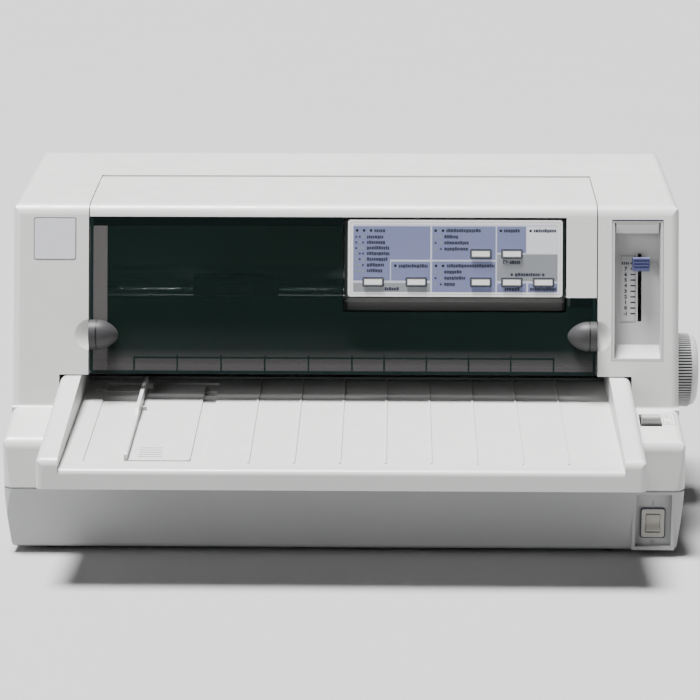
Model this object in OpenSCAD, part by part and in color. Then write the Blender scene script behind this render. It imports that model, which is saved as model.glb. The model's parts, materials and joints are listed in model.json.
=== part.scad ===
// Flatbed dot matrix printer: a wide case with a hinged smoked cover, a front
// sheet tray, a fixed control panel and the print mechanism inside.
// Millimetres, +Z up. The printer faces -Y and stands on Z = 0.

/* [Case] */
// Width of the case without the platen knob
case_w = 480; // [470:1:490]
// Depth from the lip of the front tray to the rear guide
depth = 370; // [365:1:375]
// Wall thickness of the case mouldings
wall = 2.5; // [2:0.1:3]
// Height of the rubber feet below the lower case
foot_h = 4; // [3:0.5:6]
// Height of the lower case, from its floor to the parting line
base_h = 45; // [43:0.5:47]
// How far the lower case tapers in at each side and at the front
base_taper = 5; // [2:1:8]
// Height of the shoulders above the parting line
shoulder_h = 46.5; // [46:0.5:48]
// Depth of the shoulders, in front of the leaning face
shoulder_d = 51.4; // [48:0.2:54]
// Vertical height of the leaning front face
face_h = 142; // [140:1:146]
// Lean of the front face from the vertical, in degrees
face_lean = 12; // [11:0.5:13]
// Slope of the top, in degrees
top_slope = 7.5; // [6:0.5:9]
// Depth of the top from its front ridge to its back edge
top_d = 151.4; // [148:0.2:154]
// Width of the pillar left of the cover
left_pillar_w = 55; // [53:1:57]
// Width of the pillar right of the cover
right_pillar_w = 58.5; // [57:0.5:60]
// Radius of the long outer edges of the case
edge_r = 6; // [4:0.5:7]
// Radius of the ridge between the face and the top
ridge_r = 10; // [8:0.5:12]

/* [Front tray] */
// How far the tray stands out in front of the lower case
tray_out = 76; // [74:1:78]
// Width of the tray
tray_w = 410; // [406:1:412]
// Width of each tray cheek
cheek_w = 15; // [13:0.5:17]
// Height of the front lip
lip_h = 14; // [12:0.5:16]
// Slope of the tray floor, in degrees
tray_slope = 7.3; // [7:0.1:7.6]
// Pitch of the ribs on the tray floor
rib_pitch = 30.9; // [29:0.1:31]
// Number of ribs on the tray floor
rib_count = 8; // [6:1:8]

/* [Cover] */
// Gap round the cover
cover_gap = 0.8; // [0.6:0.1:1.2]
// Radius of the knuckle at the back of the cover
knuckle_r = 4.5; // [4:0.1:5]
// Radius of the hinge pins
pin_r = 2; // [1.6:0.1:2.2]
// Thickness of the window
window_t = 2.5; // [2:0.1:3]
// Diameter of the finger grips
grip_d = 22.5; // [20:0.5:24]
// Length of the finger grips
grip_l = 23; // [20:0.5:25]

/* [Control panel] */
// Width of the panel
panel_w = 154; // [152:0.5:155]
// Height of the panel along the face
panel_h = 55.2; // [54.4:0.1:55.6]
// Depth of the panel box
panel_d = 16; // [14:0.5:16]
// Width of a button
button_w = 14; // [12:0.5:15]
// Height of a button
button_h = 5.4; // [4.6:0.1:6]
// Travel of a button
button_travel = 1.2; // [0.8:0.1:1.4]

/* [Levers and switch] */
// Travel of the gap lever knob along its slot
gap_travel = 36; // [34:0.5:37]
// Width of the lever pocket
pocket_w = 37; // [35:0.5:38]
// Depth of the lever pocket
pocket_d = 13; // [12:0.5:14]
// Width of the power rocker
rocker_w = 9.5; // [8:0.5:10]
// Height of the power rocker
rocker_h = 13; // [12:0.5:14]

/* [Platen knob] */
// Diameter of the platen knob
knob_d = 56; // [50:1:58]
// How far the knob stands out of the case
knob_out = 25; // [22:1:28]
// Number of grip flutes on the knob
flute_count = 76; // [60:1:80]

/* [Mechanism] */
// Height of the paper plane above the parting line
paper_h = 58; // [57.5:0.1:58.5]
// Radius of the rubber feed rollers
roller_r = 8; // [7.5:0.1:8]
// Radius of the steel feed roller shafts
shaft_r = 4; // [3.5:0.1:4.5]
// Radius of the pinch rollers
pinch_r = 6; // [5:0.1:6]
// Radius of the carriage guide shaft
guide_r = 5; // [4:0.1:5.5]
// Gear module
gear_m = 1; // [0.9:0.05:1]
// Teeth on each feed roller gear
roller_teeth = 24; // [24:2:24]
// Teeth on the idler between the feed rollers
idler_teeth = 22; // [22:2:22]
// Teeth on the feed motor pinion
pinion_teeth = 12; // [12:2:12]
// Face width of the feed gears
gear_w = 6; // [5:0.5:7]
// Running clearance of a shaft in its bore
run_gap = 0.05; // [0.03:0.01:0.08]
// Width of the carriage
carriage_w = 64; // [58:1:68]
// Pitch radius of the carriage belt pulleys
pulley_r = 8; // [7:0.5:9]
// Thickness of the side frames
frame_t = 2; // [1.6:0.1:2.4]

/* [Hidden] */
$fn = 48;

tiny = 0.01;        // overlap that makes two solids of one piece join
seam = 0.0005;      // how far an arc is sunk into the lines it meets, so that they cross
tooth_slack = 0.05; // taken off each flank of a gear tooth
fit = 0.3;          // gap between pieces that lie next to each other
half_w = case_w / 2;

// Heights and depths of the case
parting_z = foot_h + base_h;
shoulder_z = parting_z + shoulder_h;
ridge_z = shoulder_z + face_h;
base_y = -depth / 2 + tray_out;
face_y = base_y + shoulder_d;
ridge_y = face_y + face_h * tan(face_lean);
top_back_y = ridge_y + top_d;
top_back_z = ridge_z + top_d * tan(top_slope);
guide_out = 11;
rear_y = depth / 2 - guide_out;
shoulder_slope = 14.4;

// Paper path and the axes of the mechanism
paper_z = parting_z + paper_h;
front_roller = [face_y + 69.6, paper_z - roller_r];
idler_c = gear_m * (roller_teeth + idler_teeth) / 2;
idler_axis = [front_roller.x + idler_c, front_roller.y];
rear_roller = [front_roller.x + 2 * idler_c, front_roller.y];
pinion_axis = [idler_axis.x, idler_axis.y - gear_m * (idler_teeth + pinion_teeth) / 2];
platen_y = idler_axis.x;
front_pinch = [front_roller.x, paper_z + fit + pinch_r];
rear_pinch = [rear_roller.x, paper_z + fit + pinch_r];
guide_axis = [face_y + 117.6, paper_z + 50];
frame_x = half_w - 50;  // inner faces of the side frames
frame_front = front_roller.x - 15;
frame_back = frame_front + 121;
frame_foot = parting_z - 13;
frame_top = guide_axis.y + 24;
bar_z = guide_axis.y - 3;
belt_y = guide_axis.x + 30;
belt_z = bar_z - 8;
belt_h = 6;
belt_t = 1.5;
motor_x = frame_x - 25;
carriage_x = -85;   // where the carriage rests

// Openings of the case
cover_x0 = -half_w + left_pillar_w;
cover_x1 = half_w - right_pillar_w;
tray_open = tray_w / 2 + 1;
strip_x = tray_open + wall;  // hollow of the shoulder, which holds the release lever
strip_w = half_w - wall - strip_x;
release_x = [strip_x + strip_w * 2.5 / 29, strip_x + strip_w * 16 / 29];
pillar_v = 23;      // foot of the pillars, along the face
deck_z = parting_z + 19.5;
bay_x = 195;
bay_z = parting_z + 107;
bay_y = top_back_y + 9;
exit_z = paper_z - 3;
pillar_z = shoulder_z + pillar_v * cos(face_lean);

// Sizes along the face, measured up from its foot
panel_x = cover_x1 - 25.5 - panel_w;
panel_v = 80;
window_v1 = 137;
strip_v = 79.5;
cut_v = 69;
pocket_x = half_w - 48.5;
pocket_v = 34.2;
pocket_h = 101.6;
knob_v = 104;
lever_x = pocket_x + 21.2;
lever_t = 2;
switch_x = half_w - 21.7;
switch_z = parting_z - 25.2;
recess_w = 25;
recess_d = 4;

// Side outline of the upper case, clockwise, and the radii of its corners
nose_y = base_y + 2.5;
nose_z = shoulder_z - (face_y - nose_y) * tan(shoulder_slope);
rear_z = parting_z + 125;
CASE_SIDE = [[base_y, parting_z], [nose_y, nose_z], [face_y, shoulder_z], [ridge_y, ridge_z],
  [top_back_y, top_back_z], [rear_y, rear_z], [rear_y, parting_z]];
CASE_R = [0, 9, 3, ridge_r, 10, 14, 0];
CAVITY_SIDE = [[nose_y, nose_z] - [nose_y - base_y, nose_z - parting_z] * 1.3, [nose_y, nose_z],
  [face_y, shoulder_z], [ridge_y, ridge_z], [top_back_y, top_back_z], [rear_y, rear_z],
  [rear_y, parting_z - 10]];
CAVITY_SIDE_IN = inset(CAVITY_SIDE, wall);
CAVITY_R = [0, 9 - wall, 3 + wall, ridge_r - wall, 10 - wall, 14 - wall, 0];

// Hinge line of the cover, just under the top, and of the rear cover
hinge_s = 76.8;
open_s = hinge_s + knuckle_r + cover_gap;
cover_axis = top_pt(hinge_s, -knuckle_r);
rear_axis = [rear_y - knuckle_r, bay_z - cover_gap - knuckle_r];

// Ends of the cover, its cut-out for the panel and the curve of the grips
cover_a = cover_x0 + cover_gap;
cover_b = cover_x1 - cover_gap;
cut_a = panel_x - 3.4;
cut_b = panel_x + panel_w + 3;
grip_band = 5.2;
grip_rho = (grip_d * grip_d / 4 + (grip_l - grip_band) * (grip_l - grip_band)) / grip_d;
grip_v = 51.8;
scoop_r = 27;
scoop_back = pocket_x - 3.3 - cover_x1;

// Pivot of the release lever, its tilt at rest and its swing
release_axis = [face_y - 16.7, shoulder_z - 23.5];
release_tilt = 12;
gap_arm = norm(face_pt(knob_v, -6) - guide_axis);
gap_swing = gap_travel / gap_arm * 180 / PI;
rocker_axis = [base_y + base_taper + 3, switch_z];
recess_y = base_y + base_taper + 2;

// Tray
tray_y = -depth / 2;
tray_back = face_y + 50;
recess_x = [-tray_w / 2 + 30, -tray_w / 2 + 112];
recess_y0 = tray_y + 17;
guide_x = recess_x[0] + 29;
rib_mid = (recess_x[1] + tray_w / 2 - cheek_w) / 2 - 3;

// Screw holes of the panel board
BOARD_HOLES = [for (x = [12, panel_w - 12], v = [11, panel_h - 11.2]) [panel_x + x, panel_v + v]];
// Point of the panel, as drawn at a panel of 154 by 55.2
function at_panel(x, v) = [x * panel_w / 154, v * panel_h / 55.2];
// Where each lamp sits on the panel
LED_AT = [for (x = [6.5, 11.5, 16.5, 62.9, 68.2, 109.7, 131.1]) at_panel(x, 47.5),
  for (x = [34, 63.3, 68.3]) at_panel(x, 22.2)];
// Where each button sits on the panel: across and up from its lower left corner
BUTTON_AT = [at_panel(18.1, 10.5), at_panel(49.1, 10.5), at_panel(95.4, 30.9), at_panel(95.4, 10.5),
  at_panel(117.7, 30.9), at_panel(117.7, 10.5), at_panel(140.4, 10.5)];

// Screws and posts of the lower case, feet and rear connectors
SCREW_AT = [[-half_w + 12, face_y + 7.6], [half_w - 12, face_y + 7.6], [-half_w + 12, rear_y - 14],
    [half_w - 12, rear_y - 14]];
FRAME_POSTS = [[-frame_x + 10, frame_front + 12], [frame_x - 10, frame_front + 12],
  [-frame_x + 10, frame_back - 12], [frame_x - 10, frame_back - 12]];
BOARD_POSTS = [for (x = [-150, 20], y = [34, rear_y - 24]) [x, y]];
FOOT_AT = [[-half_w + 32, base_y + 26], [half_w - 52, base_y + 26], [-half_w + 32, rear_y - 22],
    [half_w - 32, rear_y - 22]];
inlet_x = 150;
port_x = -30;
option_x = -130;

// ---- Helpers -------------------------------------------------------------

function unit(v) = v / norm(v);
function wrap(i, n) = (i + n) % n;

// Circle of radius r that touches both sides of corner b: its centre and the two points of touch
function touch(a, b, c, r) =
  r <= 0 ? [b, b, b] :
  let (u = unit(a - b), v = unit(c - b), half = acos(u * v) / 2)
  [b + unit(u + v) * r / sin(half), b + u * r / tan(half), b + v * r / tan(half)];
function touch_at(pts, radii, i) =
  touch(pts[wrap(i - 1, len(pts))], pts[i], pts[wrap(i + 1, len(pts))], radii[i]);

// In a clockwise outline: true where corner i points outwards
function convex(pts, i) =
  let (n = len(pts), d = pts[i] - pts[wrap(i - 1, n)], e = pts[wrap(i + 1, n)] - pts[i])
  d.x * e.y - d.y * e.x < 0;

// Clockwise outline with a true arc of the given radius at each corner
module outline(pts, radii) {
  n = len(pts);
  difference() {
    union() {
      polygon([for (i = [0:n - 1]) let (t = touch_at(pts, radii, i))
          each radii[i] > 0 ? [t[1], t[2]] : [t[0]]]);
      for (i = [0:n - 1])
        if (radii[i] > 0 && convex(pts, i)) translate(touch_at(pts, radii, i)[0]) circle(radii[i] + seam);
    }
    for (i = [0:n - 1])
      if (radii[i] > 0 && !convex(pts, i)) translate(touch_at(pts, radii, i)[0]) circle(radii[i] + seam);
  }
}

// Clockwise outline moved inwards by d
function inset(pts, d) =
  let (n = len(pts))
  [for (i = [0:n - 1])
    let (e1 = unit(pts[i] - pts[wrap(i - 1, n)]), e2 = unit(pts[wrap(i + 1, n)] - pts[i]))
    let (n1 = [e1.y, -e1.x], n2 = [e2.y, -e2.x])
    pts[i] + d * (n1 + n2) / (1 + n1 * n2)];

// Extrudes a (Y, Z) outline along X
module along_x(x0, x1) {
  translate([x0, 0, 0]) rotate([90, 0, 90]) linear_extrude(x1 - x0) children();
}

// Extrudes an (X, Z) outline along Y
module along_y(y0, y1) {
  translate([0, y1, 0]) rotate([90, 0, 0]) linear_extrude(y1 - y0) children();
}

// Extrudes an (X, Y) outline along Z
module along_z(z0, z1) {
  translate([0, 0, z0]) linear_extrude(z1 - z0) children();
}

// Box between two corners
module block(a, b) {
  translate(a) cube(b - a);
}

// Round bar along X at axis c = [Y, Z]
module bar_x(c, r, x0, x1) {
  translate([x0, c.x, c.y]) rotate([0, 90, 0]) cylinder(r = r, h = x1 - x0);
}

// Rectangle from corner a to corner b with corner radius r
module plate(a, b, r) {
  translate(a + [r, 0]) square(b - a - [2 * r, 0]);
  translate(a + [0, r]) square(b - a - [0, 2 * r]);
  if (r > 0)
    for (x = [a.x + r, b.x - r], y = [a.y + r, b.y - r]) translate([x, y]) circle(r);
}

// Frame of the leaning face: x across, y up along the face, z outwards
module on_face(x = 0, v = 0, w = 0) {
  translate([0, face_y, shoulder_z]) rotate([90 - face_lean, 0, 0]) translate([x, v, w]) children();
}

// Point of the face frame as [Y, Z]
function face_pt(v, w) = [
  face_y + v * sin(face_lean) - w * cos(face_lean),
  shoulder_z + v * cos(face_lean) + w * sin(face_lean)
];

// Point of the top plane as [Y, Z], measured back from the ridge
function top_pt(s, w) = [
  ridge_y + s * cos(top_slope) - w * sin(top_slope),
  ridge_z + s * sin(top_slope) + w * cos(top_slope)
];

// Waste that a quarter round of radius r leaves at the corner [0, 0]; the body lies at -x, +y
module edge_waste(r) {
  difference() {
    translate([-r, -1]) square([r + 1, r + 1]);
    translate([-r, r]) circle(r);
  }
}

// Rounds both ends, at x = -w/2 and w/2, of the straight edge a to b of a clockwise outline,
// and runs on past a and b by the two given lengths
module end_round(a, b, w, r, before, after) {
  d = b - a;
  for (s = [0, 1])
    mirror([s, 0, 0])
      translate([w / 2, a.x, a.y]) rotate([atan2(-d.x, d.y), 0, 0])
        translate([0, 0, -before]) linear_extrude(norm(d) + before + after) edge_waste(r);
}

// Tooth shape: half the angle a tooth spans at radius r, for z teeth
function involute(a) = tan(a) * 180 / PI - a;
function tooth_half(z, r) =
  let (base_r = gear_m * z / 2 * cos(20))
  90 / z - tooth_slack * 360 / (PI * gear_m * z) + involute(20)
    - (r > base_r ? involute(acos(base_r / r)) : 0);

// Spur gear with one tooth pointing along the first axis, turned by the given part of a pitch
module gear_2d(z, turn = 0) {
  root = gear_m * (z / 2 - 1.1);
  tip = gear_m * (z / 2 + 0.8);
  base_r = max(root + 0.05, gear_m * z / 2 * cos(20));
  rs = [root, base_r, base_r + (tip - base_r) / 3, base_r + (tip - base_r) * 2 / 3, tip];
  polygon([for (k = [0:z - 1], s = [-1, 1], i = [0:4])
    let (r = rs[s < 0 ? i : 4 - i], a = 360 * (k + turn) / z + s * tooth_half(z, r))
    r * [cos(a), sin(a)]]);
}

// The case stands off centre, so that the knob on its right is inside the frame too
module placed() {
  translate([-knob_out / 2, 0, 0]) children();
}

// ---- Case ----------------------------------------------------------------

// Solid shape of the upper case with all its outer edges rounded
module case_solid() {
  difference() {
    intersection() {
      along_x(-half_w, half_w) outline(CASE_SIDE, CASE_R);
      along_z(0, 300) plate([-half_w, base_y], [half_w, rear_y], edge_r + 2);
    }
    for (i = [1:4]) {
      last = touch_at(CASE_SIDE, CASE_R, i);
      next = touch_at(CASE_SIDE, CASE_R, i + 1);
      end_round(last[2], next[1], case_w, edge_r, i == 2 ? 0 : 14, i == 1 ? 0 : 14);
    }
  }
}

// Part of the case outline inside a box of the side view, as a web across X
module web(x0, x1, a, b) {
  along_x(x0, x1)
    intersection() {
      outline(inset(CASE_SIDE, 0.4), [for (r = CASE_R) r]);
      translate(a) square(b - a);
    }
}

module upper_case() {
  color([0.84, 0.84, 0.83])
  difference() {
    union() {
      difference() {
        case_solid();
        along_x(-half_w + wall, half_w - wall) outline(CAVITY_SIDE_IN, CAVITY_R);
      }
      // inner walls beside the cover, with the hinge bores
      for (x = [cover_x0 - wall, cover_x1]) {
        web(x, x + wall, [-150, pillar_z], [face_y + 46, 300]);
        web(x, x + wall, [-150, pillar_z + 8], [face_y + 102, 300]);
        web(x, x + wall, [-150, frame_top + 2], [open_s + ridge_y + 14, 300]);
      }
      // feet of the pillars over the tray
      web(-tray_open - wall, cover_x0, [-150, pillar_z], [face_y + 46, pillar_z + wall]);
      web(cover_x1, tray_open + wall, [-150, pillar_z], [face_y + 46, pillar_z + wall]);
      // inner walls of the shoulders and the deck below the tray
      for (x = [-tray_open - wall, tray_open])
        web(x, x + wall, [-150, deck_z - wall], [face_y + 46, pillar_z + wall]);
      block([-tray_open - wall, base_y + 1, deck_z - wall], [tray_open + wall, face_y + 46, deck_z]);
      for (x = [-140, -70, 0, 70, 140])
        block([x - 1, base_y + 1, parting_z + 5], [x + 1, face_y + 30, deck_z - 1]);
      // backing of the finger scoops
      for (x = [cover_x0 - scoop_back, cover_x1])
        on_face(x, grip_v - 14, -wall - 2) cube([scoop_back, 28, 2 + tiny]);
      // lug of the release lever
      web(release_x[1] + 2, release_x[1] + 4.5, release_axis - [7, 8], [release_axis.x + 7, 120]);
      // lugs of the rear cover
      for (x = [-bay_x - 4, bay_x])
        block([x, rear_axis.x - 7, rear_axis.y - 7], [x + 4, rear_y - 1, rear_axis.y + 7]);
      // screw bosses
      for (p = SCREW_AT)
        translate([p.x, p.y, parting_z]) {
          cylinder(r = 5, h = 20);
          translate([p.x > 0 ? 0 : -11, -1, 4]) cube([11, 2, 16]);
        }
    }
    // cover opening, from the foot of the face to the hinge
    along_x(cover_x0, cover_x1)
      polygon([[base_y, pillar_z], [base_y, 300], top_pt(open_s, 20), top_pt(open_s, -10),
        [face_y + 75, shoulder_z + 100.5], [face_y + 40, pillar_z]]);
    // tray opening
    block([-tray_open, base_y - 5, deck_z], [tray_open, face_y + 47, pillar_z]);
    // rear bay
    block([-bay_x, rear_y - 8, exit_z], [bay_x, rear_y + 5, bay_z]);
    for (x = [cover_x0, cover_x1]) bar_x(cover_axis, pin_r + run_gap, x - 5, x + 5);
    for (x = [-bay_x, bay_x]) bar_x(rear_axis, pin_r + run_gap, x - 6, x + 6);
    // scoops for the fingers
    for (x = [cover_x0 + 1.4, cover_x1 - 1.4])
      on_face(x, grip_v, sqrt(scoop_r * scoop_r - grip_d * grip_d / 4)) sphere(r = scoop_r);
    // lever pocket
    on_face(pocket_x, pocket_v, -10) cube([pocket_w, pocket_h, 20]);
    // groove round the bare badge field
    on_face(0, 0, -0.5)
      difference() {
        along_z(0, 2) plate([-half_w + 15.2, 105.4], [-half_w + 46.2, 136.4], 1.5);
        along_z(-1, 3) plate([-half_w + 16, 106.2], [-half_w + 45.4, 135.6], 1);
      }
    // slot and pivot of the release lever
    block([release_x[0] - 1, face_y - 25.4, nose_z - 2], [release_x[1] + 1, face_y - 7.9, shoulder_z + 5]);
    bar_x(release_axis, 3 + run_gap, tray_open - 1, release_x[1] + 6);
    // hole for the platen knob
    bar_x(rear_roller, 14, half_w - 20, half_w + 5);
    for (p = SCREW_AT) translate([p.x, p.y, parting_z - 1]) cylinder(r = 1.5 + run_gap, h = 18);
    // louvres in the side walls
    for (i = [0:8], x = [-half_w - 1, half_w - wall - 1])
      block([x, top_back_y - 52 + i * 9, parting_z + 22],
          [x + wall + 2, top_back_y - 49 + i * 9, parting_z + 34]);
    // joint with the lower case
    block([-half_w - 1, base_y - 1, parting_z - 1], [half_w + 1, rear_y + 1, parting_z]);
  }
}

module lower_outline(d, z0, z1, r) {
  intersection() {
    along_x(-half_w + d, half_w - d)
      outline([[base_y + base_taper + d, foot_h + z0], [base_y + d, z1], [rear_y - d, z1],
          [rear_y - d, foot_h + z0]],
        [r, 0, 0, r]);
    along_y(base_y - 1, rear_y + 1)
      outline([[-half_w + base_taper + d, foot_h + z0], [-half_w + d, z1], [half_w - d, z1],
        [half_w - base_taper - d, foot_h + z0]], [r, 0, 0, r]);
    along_z(0, 100) plate([-half_w + d, base_y + d], [half_w - d, rear_y - d], edge_r + 2 - d);
  }
}

module lower_case() {
  color([0.62, 0.62, 0.61])
  difference() {
    union() {
      difference() {
        lower_outline(0, 0, parting_z, 4);
        lower_outline(wall, wall, parting_z + 4, 2);
      }
      // tongue inside the upper case
      difference() {
        along_z(parting_z - 6, parting_z + 3)
          plate([-half_w + wall + fit, base_y + wall + fit], [half_w - wall - fit, rear_y - wall - fit], 5);
        along_z(parting_z - 7, parting_z + 4)
          plate([-half_w + 2 * wall, base_y + 2 * wall], [half_w - 2 * wall, rear_y - 2 * wall], 4);
      }
      // posts of the screws, the mechanism and the boards
      for (p = SCREW_AT) translate([p.x, p.y, foot_h + 1]) cylinder(r = 5, h = base_h - 1);
      for (p = FRAME_POSTS) translate([p.x, p.y, foot_h + 1])
          cylinder(r = 6, h = frame_foot - 2 - foot_h - 1);
      for (p = BOARD_POSTS) translate([p.x, p.y, foot_h + 1]) cylinder(r = 3.5, h = 5);
      // back of the switch recess
      block([switch_x - recess_w / 2 - 2.5, base_y + 2, foot_h + 1],
        [switch_x + recess_w / 2 + 2.5, recess_y + wall, foot_h + base_h - 2]);
      // ribs of the floor
      for (x = [-170, -90, -10, 70, 150])
        block([x - 1, base_y + 12, foot_h + 1], [x + 1, frame_front - 6, foot_h + wall + 4]);
    }
    // shadow groove at the joint
    difference() {
      block([-half_w - 1, base_y - 1, parting_z - 1.2], [half_w + 1, rear_y + 1, parting_z + 0.001]);
      along_z(parting_z - 2, parting_z + 1)
        plate([-half_w + 1, base_y + 1], [half_w - 1, rear_y - 1], edge_r + 1);
    }
    // recess and hole of the switch
    block([switch_x - recess_w / 2, base_y - 5, foot_h + 3.5],
        [switch_x + recess_w / 2, recess_y, parting_z - 3.4]);
    block([switch_x - 7.3, recess_y - 1, switch_z - 9.1],
        [switch_x + 7.3, recess_y + wall + 1, switch_z + 9.1]);
    // screws, sunk in the floor
    for (p = SCREW_AT)
      translate([p.x, p.y, 0]) {
        cylinder(r = 1.5 + run_gap, h = 60);
        cylinder(r = 3.4, h = foot_h + 8);
      }
    for (p = FOOT_AT) translate([p.x, p.y, 0]) cylinder(r = 3 + run_gap, h = foot_h + wall + 1);
    // vents in the floor
    for (i = [0:11], y = [frame_front + 28, frame_back - 42])
      block([-100 + i * 12, y, foot_h - 1], [-96 + i * 12, y + 24, foot_h + wall + 1]);
    // rear connectors
    block([inlet_x - 13.8, rear_y - 5, foot_h + 8], [inlet_x + 13.8, rear_y + 5, foot_h + 28]);
    block([port_x - 28, rear_y - 5, foot_h + 12], [port_x + 28, rear_y + 5, foot_h + 25]);
    block([option_x - 40, rear_y - 5, foot_h + 8], [option_x + 40, rear_y + 5, foot_h + 30]);
  }
}

module rubber_feet() {
  color([0.15, 0.15, 0.15])
  for (p = FOOT_AT)
    translate([p.x, p.y, 0]) {
      rotate_extrude() polygon([[0, 0], [7.5, 0], [9, 1.5], [9, foot_h], [0, foot_h]]);
      cylinder(r = 3, h = foot_h + wall);
      translate([0, 0, foot_h + wall]) cylinder(r1 = 4, r2 = 2.6, h = 2.5);
    }
}

module case_screws() {
  color([0.6, 0.6, 0.62])
  for (p = SCREW_AT)
    translate([p.x, p.y, foot_h + 8]) {
      translate([0, 0, -2.2])
        difference() {
          cylinder(r = 3, h = 2.2);
          for (a = [0, 90]) rotate([0, 0, a]) translate([-2, -0.4, -1]) cube([4, 0.8, 2]);
        }
      cylinder(r = 1.5, h = parting_z + 14 - foot_h - 8);
    }
}

module hinge_pins() {
  color([0.7, 0.7, 0.72])
  for (s = [0, 1]) {
    x = s == 0 ? cover_x0 : cover_x1;
    mirror([s, 0, 0]) {
      bar_x(cover_axis, pin_r, (s == 0 ? x : -x) - wall - 1, (s == 0 ? x : -x) + cover_gap + 10);
      bar_x(rear_axis, pin_r, -bay_x - 5, -bay_x + cover_gap + 10);
    }
  }
}

module rear_cover() {
  x0 = -bay_x + cover_gap;
  lip_z = paper_z + 6;
  color([0.82, 0.82, 0.81])
  difference() {
    union() {
      along_x(x0, -x0) {
        translate([rear_y - wall, lip_z]) square([wall, rear_axis.y - lip_z - 1]);
        translate(rear_axis) circle(knuckle_r);
        // lip that turns the sheet out, and grip
        outline([[rear_y - wall, lip_z], [rear_y - wall, lip_z + 10], [rear_y + guide_out, lip_z + wall],
          [rear_y + guide_out, lip_z]], [0, 0, 1.2, 1.2]);
      }
      for (x = [-160:40:160])
        along_x(x - 1, x + 1) translate([rear_y - wall - 3, lip_z + 2])
            square([4, rear_axis.y - lip_z - 2]);
    }
    for (s = [0, 1]) mirror([s, 0, 0]) bar_x(rear_axis, pin_r + run_gap, x0 - 1, x0 + 11);
  }
}

// ---- Front tray ----------------------------------------------------------

// Frame of the tray floor: y back along the floor, z out of it
module on_tray() {
  translate([0, tray_y + 14, deck_z + lip_h + 1]) rotate([tray_slope, 0, 0]) children();
}

// Height of the tray floor at depth y
function tray_z(y) = deck_z + lip_h + 1 + (y - tray_y - 14) * tan(tray_slope);

module tray_plan(d) {
  along_z(0, 200)
    outline([[-tray_w / 2 + d, tray_y + d], [-tray_w / 2 + d, tray_back], [tray_w / 2 - d, tray_back],
      [tray_w / 2 - d, tray_y + d]], [5 - d, 0, 0, 5 - d]);
}

// Side outline of a cheek, clockwise
function cheek_side(low) = [[tray_y, deck_z - low], [tray_y, deck_z + lip_h + 6.5],
  [face_y + 2, pillar_z - 0.8], [tray_back - 4, pillar_z - 0.8], [tray_back - 4, deck_z - low]];

module front_tray() {
  top = cheek_side(0);
  color([0.87, 0.87, 0.86])
  difference() {
    union() {
      intersection() {
        tray_plan(0);
        union() {
          on_tray() block([-tray_w / 2 + 3, -8, -wall], [tray_w / 2 - 3,
              (tray_back - tray_y - 14) / cos(tray_slope), 0]);
          along_x(-tray_w / 2 + 2, tray_w / 2 - 2)
            difference() {
              outline([[tray_y, deck_z], [tray_y, deck_z + lip_h], [tray_y + 9, deck_z + lip_h + 0.35],
                [tray_y + 9, deck_z]], [0, 4, 0, 0]);
              outline([[tray_y + wall, deck_z - 1], [tray_y + wall, deck_z + lip_h - wall],
                [tray_y + 10, deck_z + lip_h - wall], [tray_y + 10, deck_z - 1]], [0, 1.5, 0, 0]);
            }
          for (x = [-tray_w / 2, tray_w / 2 - cheek_w])
            along_x(x, x + cheek_w) outline(top, [0, 6, 5, 0, 0]);
        }
      }
      // ribs the sheet slides on
      on_tray()
        for (i = [0:rib_count - 1])
          block([rib_mid + rib_pitch * (i - 3.5) - 0.6, 0, -0.5],
            [rib_mid + rib_pitch * (i - 3.5) + 0.6, (tray_back - tray_y - 14) / cos(tray_slope) - 1, 0.8]);
      // webs that rest on the deck
      for (x = [recess_x[0] - 13, recess_x[1] + 7, 0, 75, tray_w / 2 - 55])
        along_x(x - 1, x + 1)
          polygon([[base_y + 4, deck_z], [base_y + 4, tray_z(base_y + 4) - 1.5],
            [tray_back - 8, tray_z(tray_back - 8) - 1.5], [tray_back - 8, deck_z]]);
    }
    // hollow cheeks with rounded outer edges
    intersection() {
      tray_plan(wall);
      for (x = [-tray_w / 2 + wall, tray_w / 2 - cheek_w + wall])
        along_x(x, x + cheek_w - 2 * wall) outline(inset(cheek_side(10), wall), [0, 3.5, 2.5, 0, 0]);
    }
    end_round(top[1], top[2], tray_w, 5, 8, 6);
    end_round(top[2], top[3], tray_w, 5, 0, 6);
    // recess, rail slot and groove of the edge guide
    on_tray() {
      block([recess_x[0], 3, -1.2], [recess_x[1], 157, 6]);
      block([recess_x[0] - 7, 139, -6], [recess_x[1] - 1, 143, 6]);
      block([recess_x[0] + 2, 134, -1.6], [recess_x[1] - 2, 134.8, 6]);
    }
  }
}

module edge_guide() {
  color([0.88, 0.88, 0.87])
  on_tray() {
    difference() {
      along_z(-1.1, 0.3) plate([guide_x, 4], [guide_x + 43.5, 152.5], 3);
      for (y = [10:4:26]) block([guide_x + 8, y, -0.1], [guide_x + 24, y + 1.2, 1]);
    }
    along_x(guide_x - 1.2, guide_x + 1.2)
      outline([[4.5, -1.1], [4.5, 5], [76, 5.5], [83, 8.5], [151, 8.5], [151, -1.1]], [0, 2, 3, 3, 4, 0]);
    for (y = [100, 145]) block([guide_x, y - 0.8, -1], [guide_x + 5, y + 0.8, 3]);
    // tongue in the rail slot
    block([guide_x + 16, 139.4, -6], [guide_x + 28, 142.6, 0]);
    block([guide_x + 16, 136.5, -6], [guide_x + 28, 145.5, -3]);
  }
}

// Smooth plate behind the window, between the inner walls
module front_guard() {
  color([0.22, 0.24, 0.24])
  along_x(cover_x0, cover_x1)
    outline([[face_y + 17, pillar_z + 8], [face_y + 19, pillar_z + 10], [face_y + 52, pillar_z + 47.5],
      [face_y + 58, pillar_z + 47.5], [face_y + 58, pillar_z + 45.5], [face_y + 53, pillar_z + 45.5],
      [face_y + 21, pillar_z + 9], [face_y + 19, pillar_z + 6]], [0, 0, 0, 0, 0, 0, 0, 0]);
}

// ---- Cover ---------------------------------------------------------------

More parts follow.
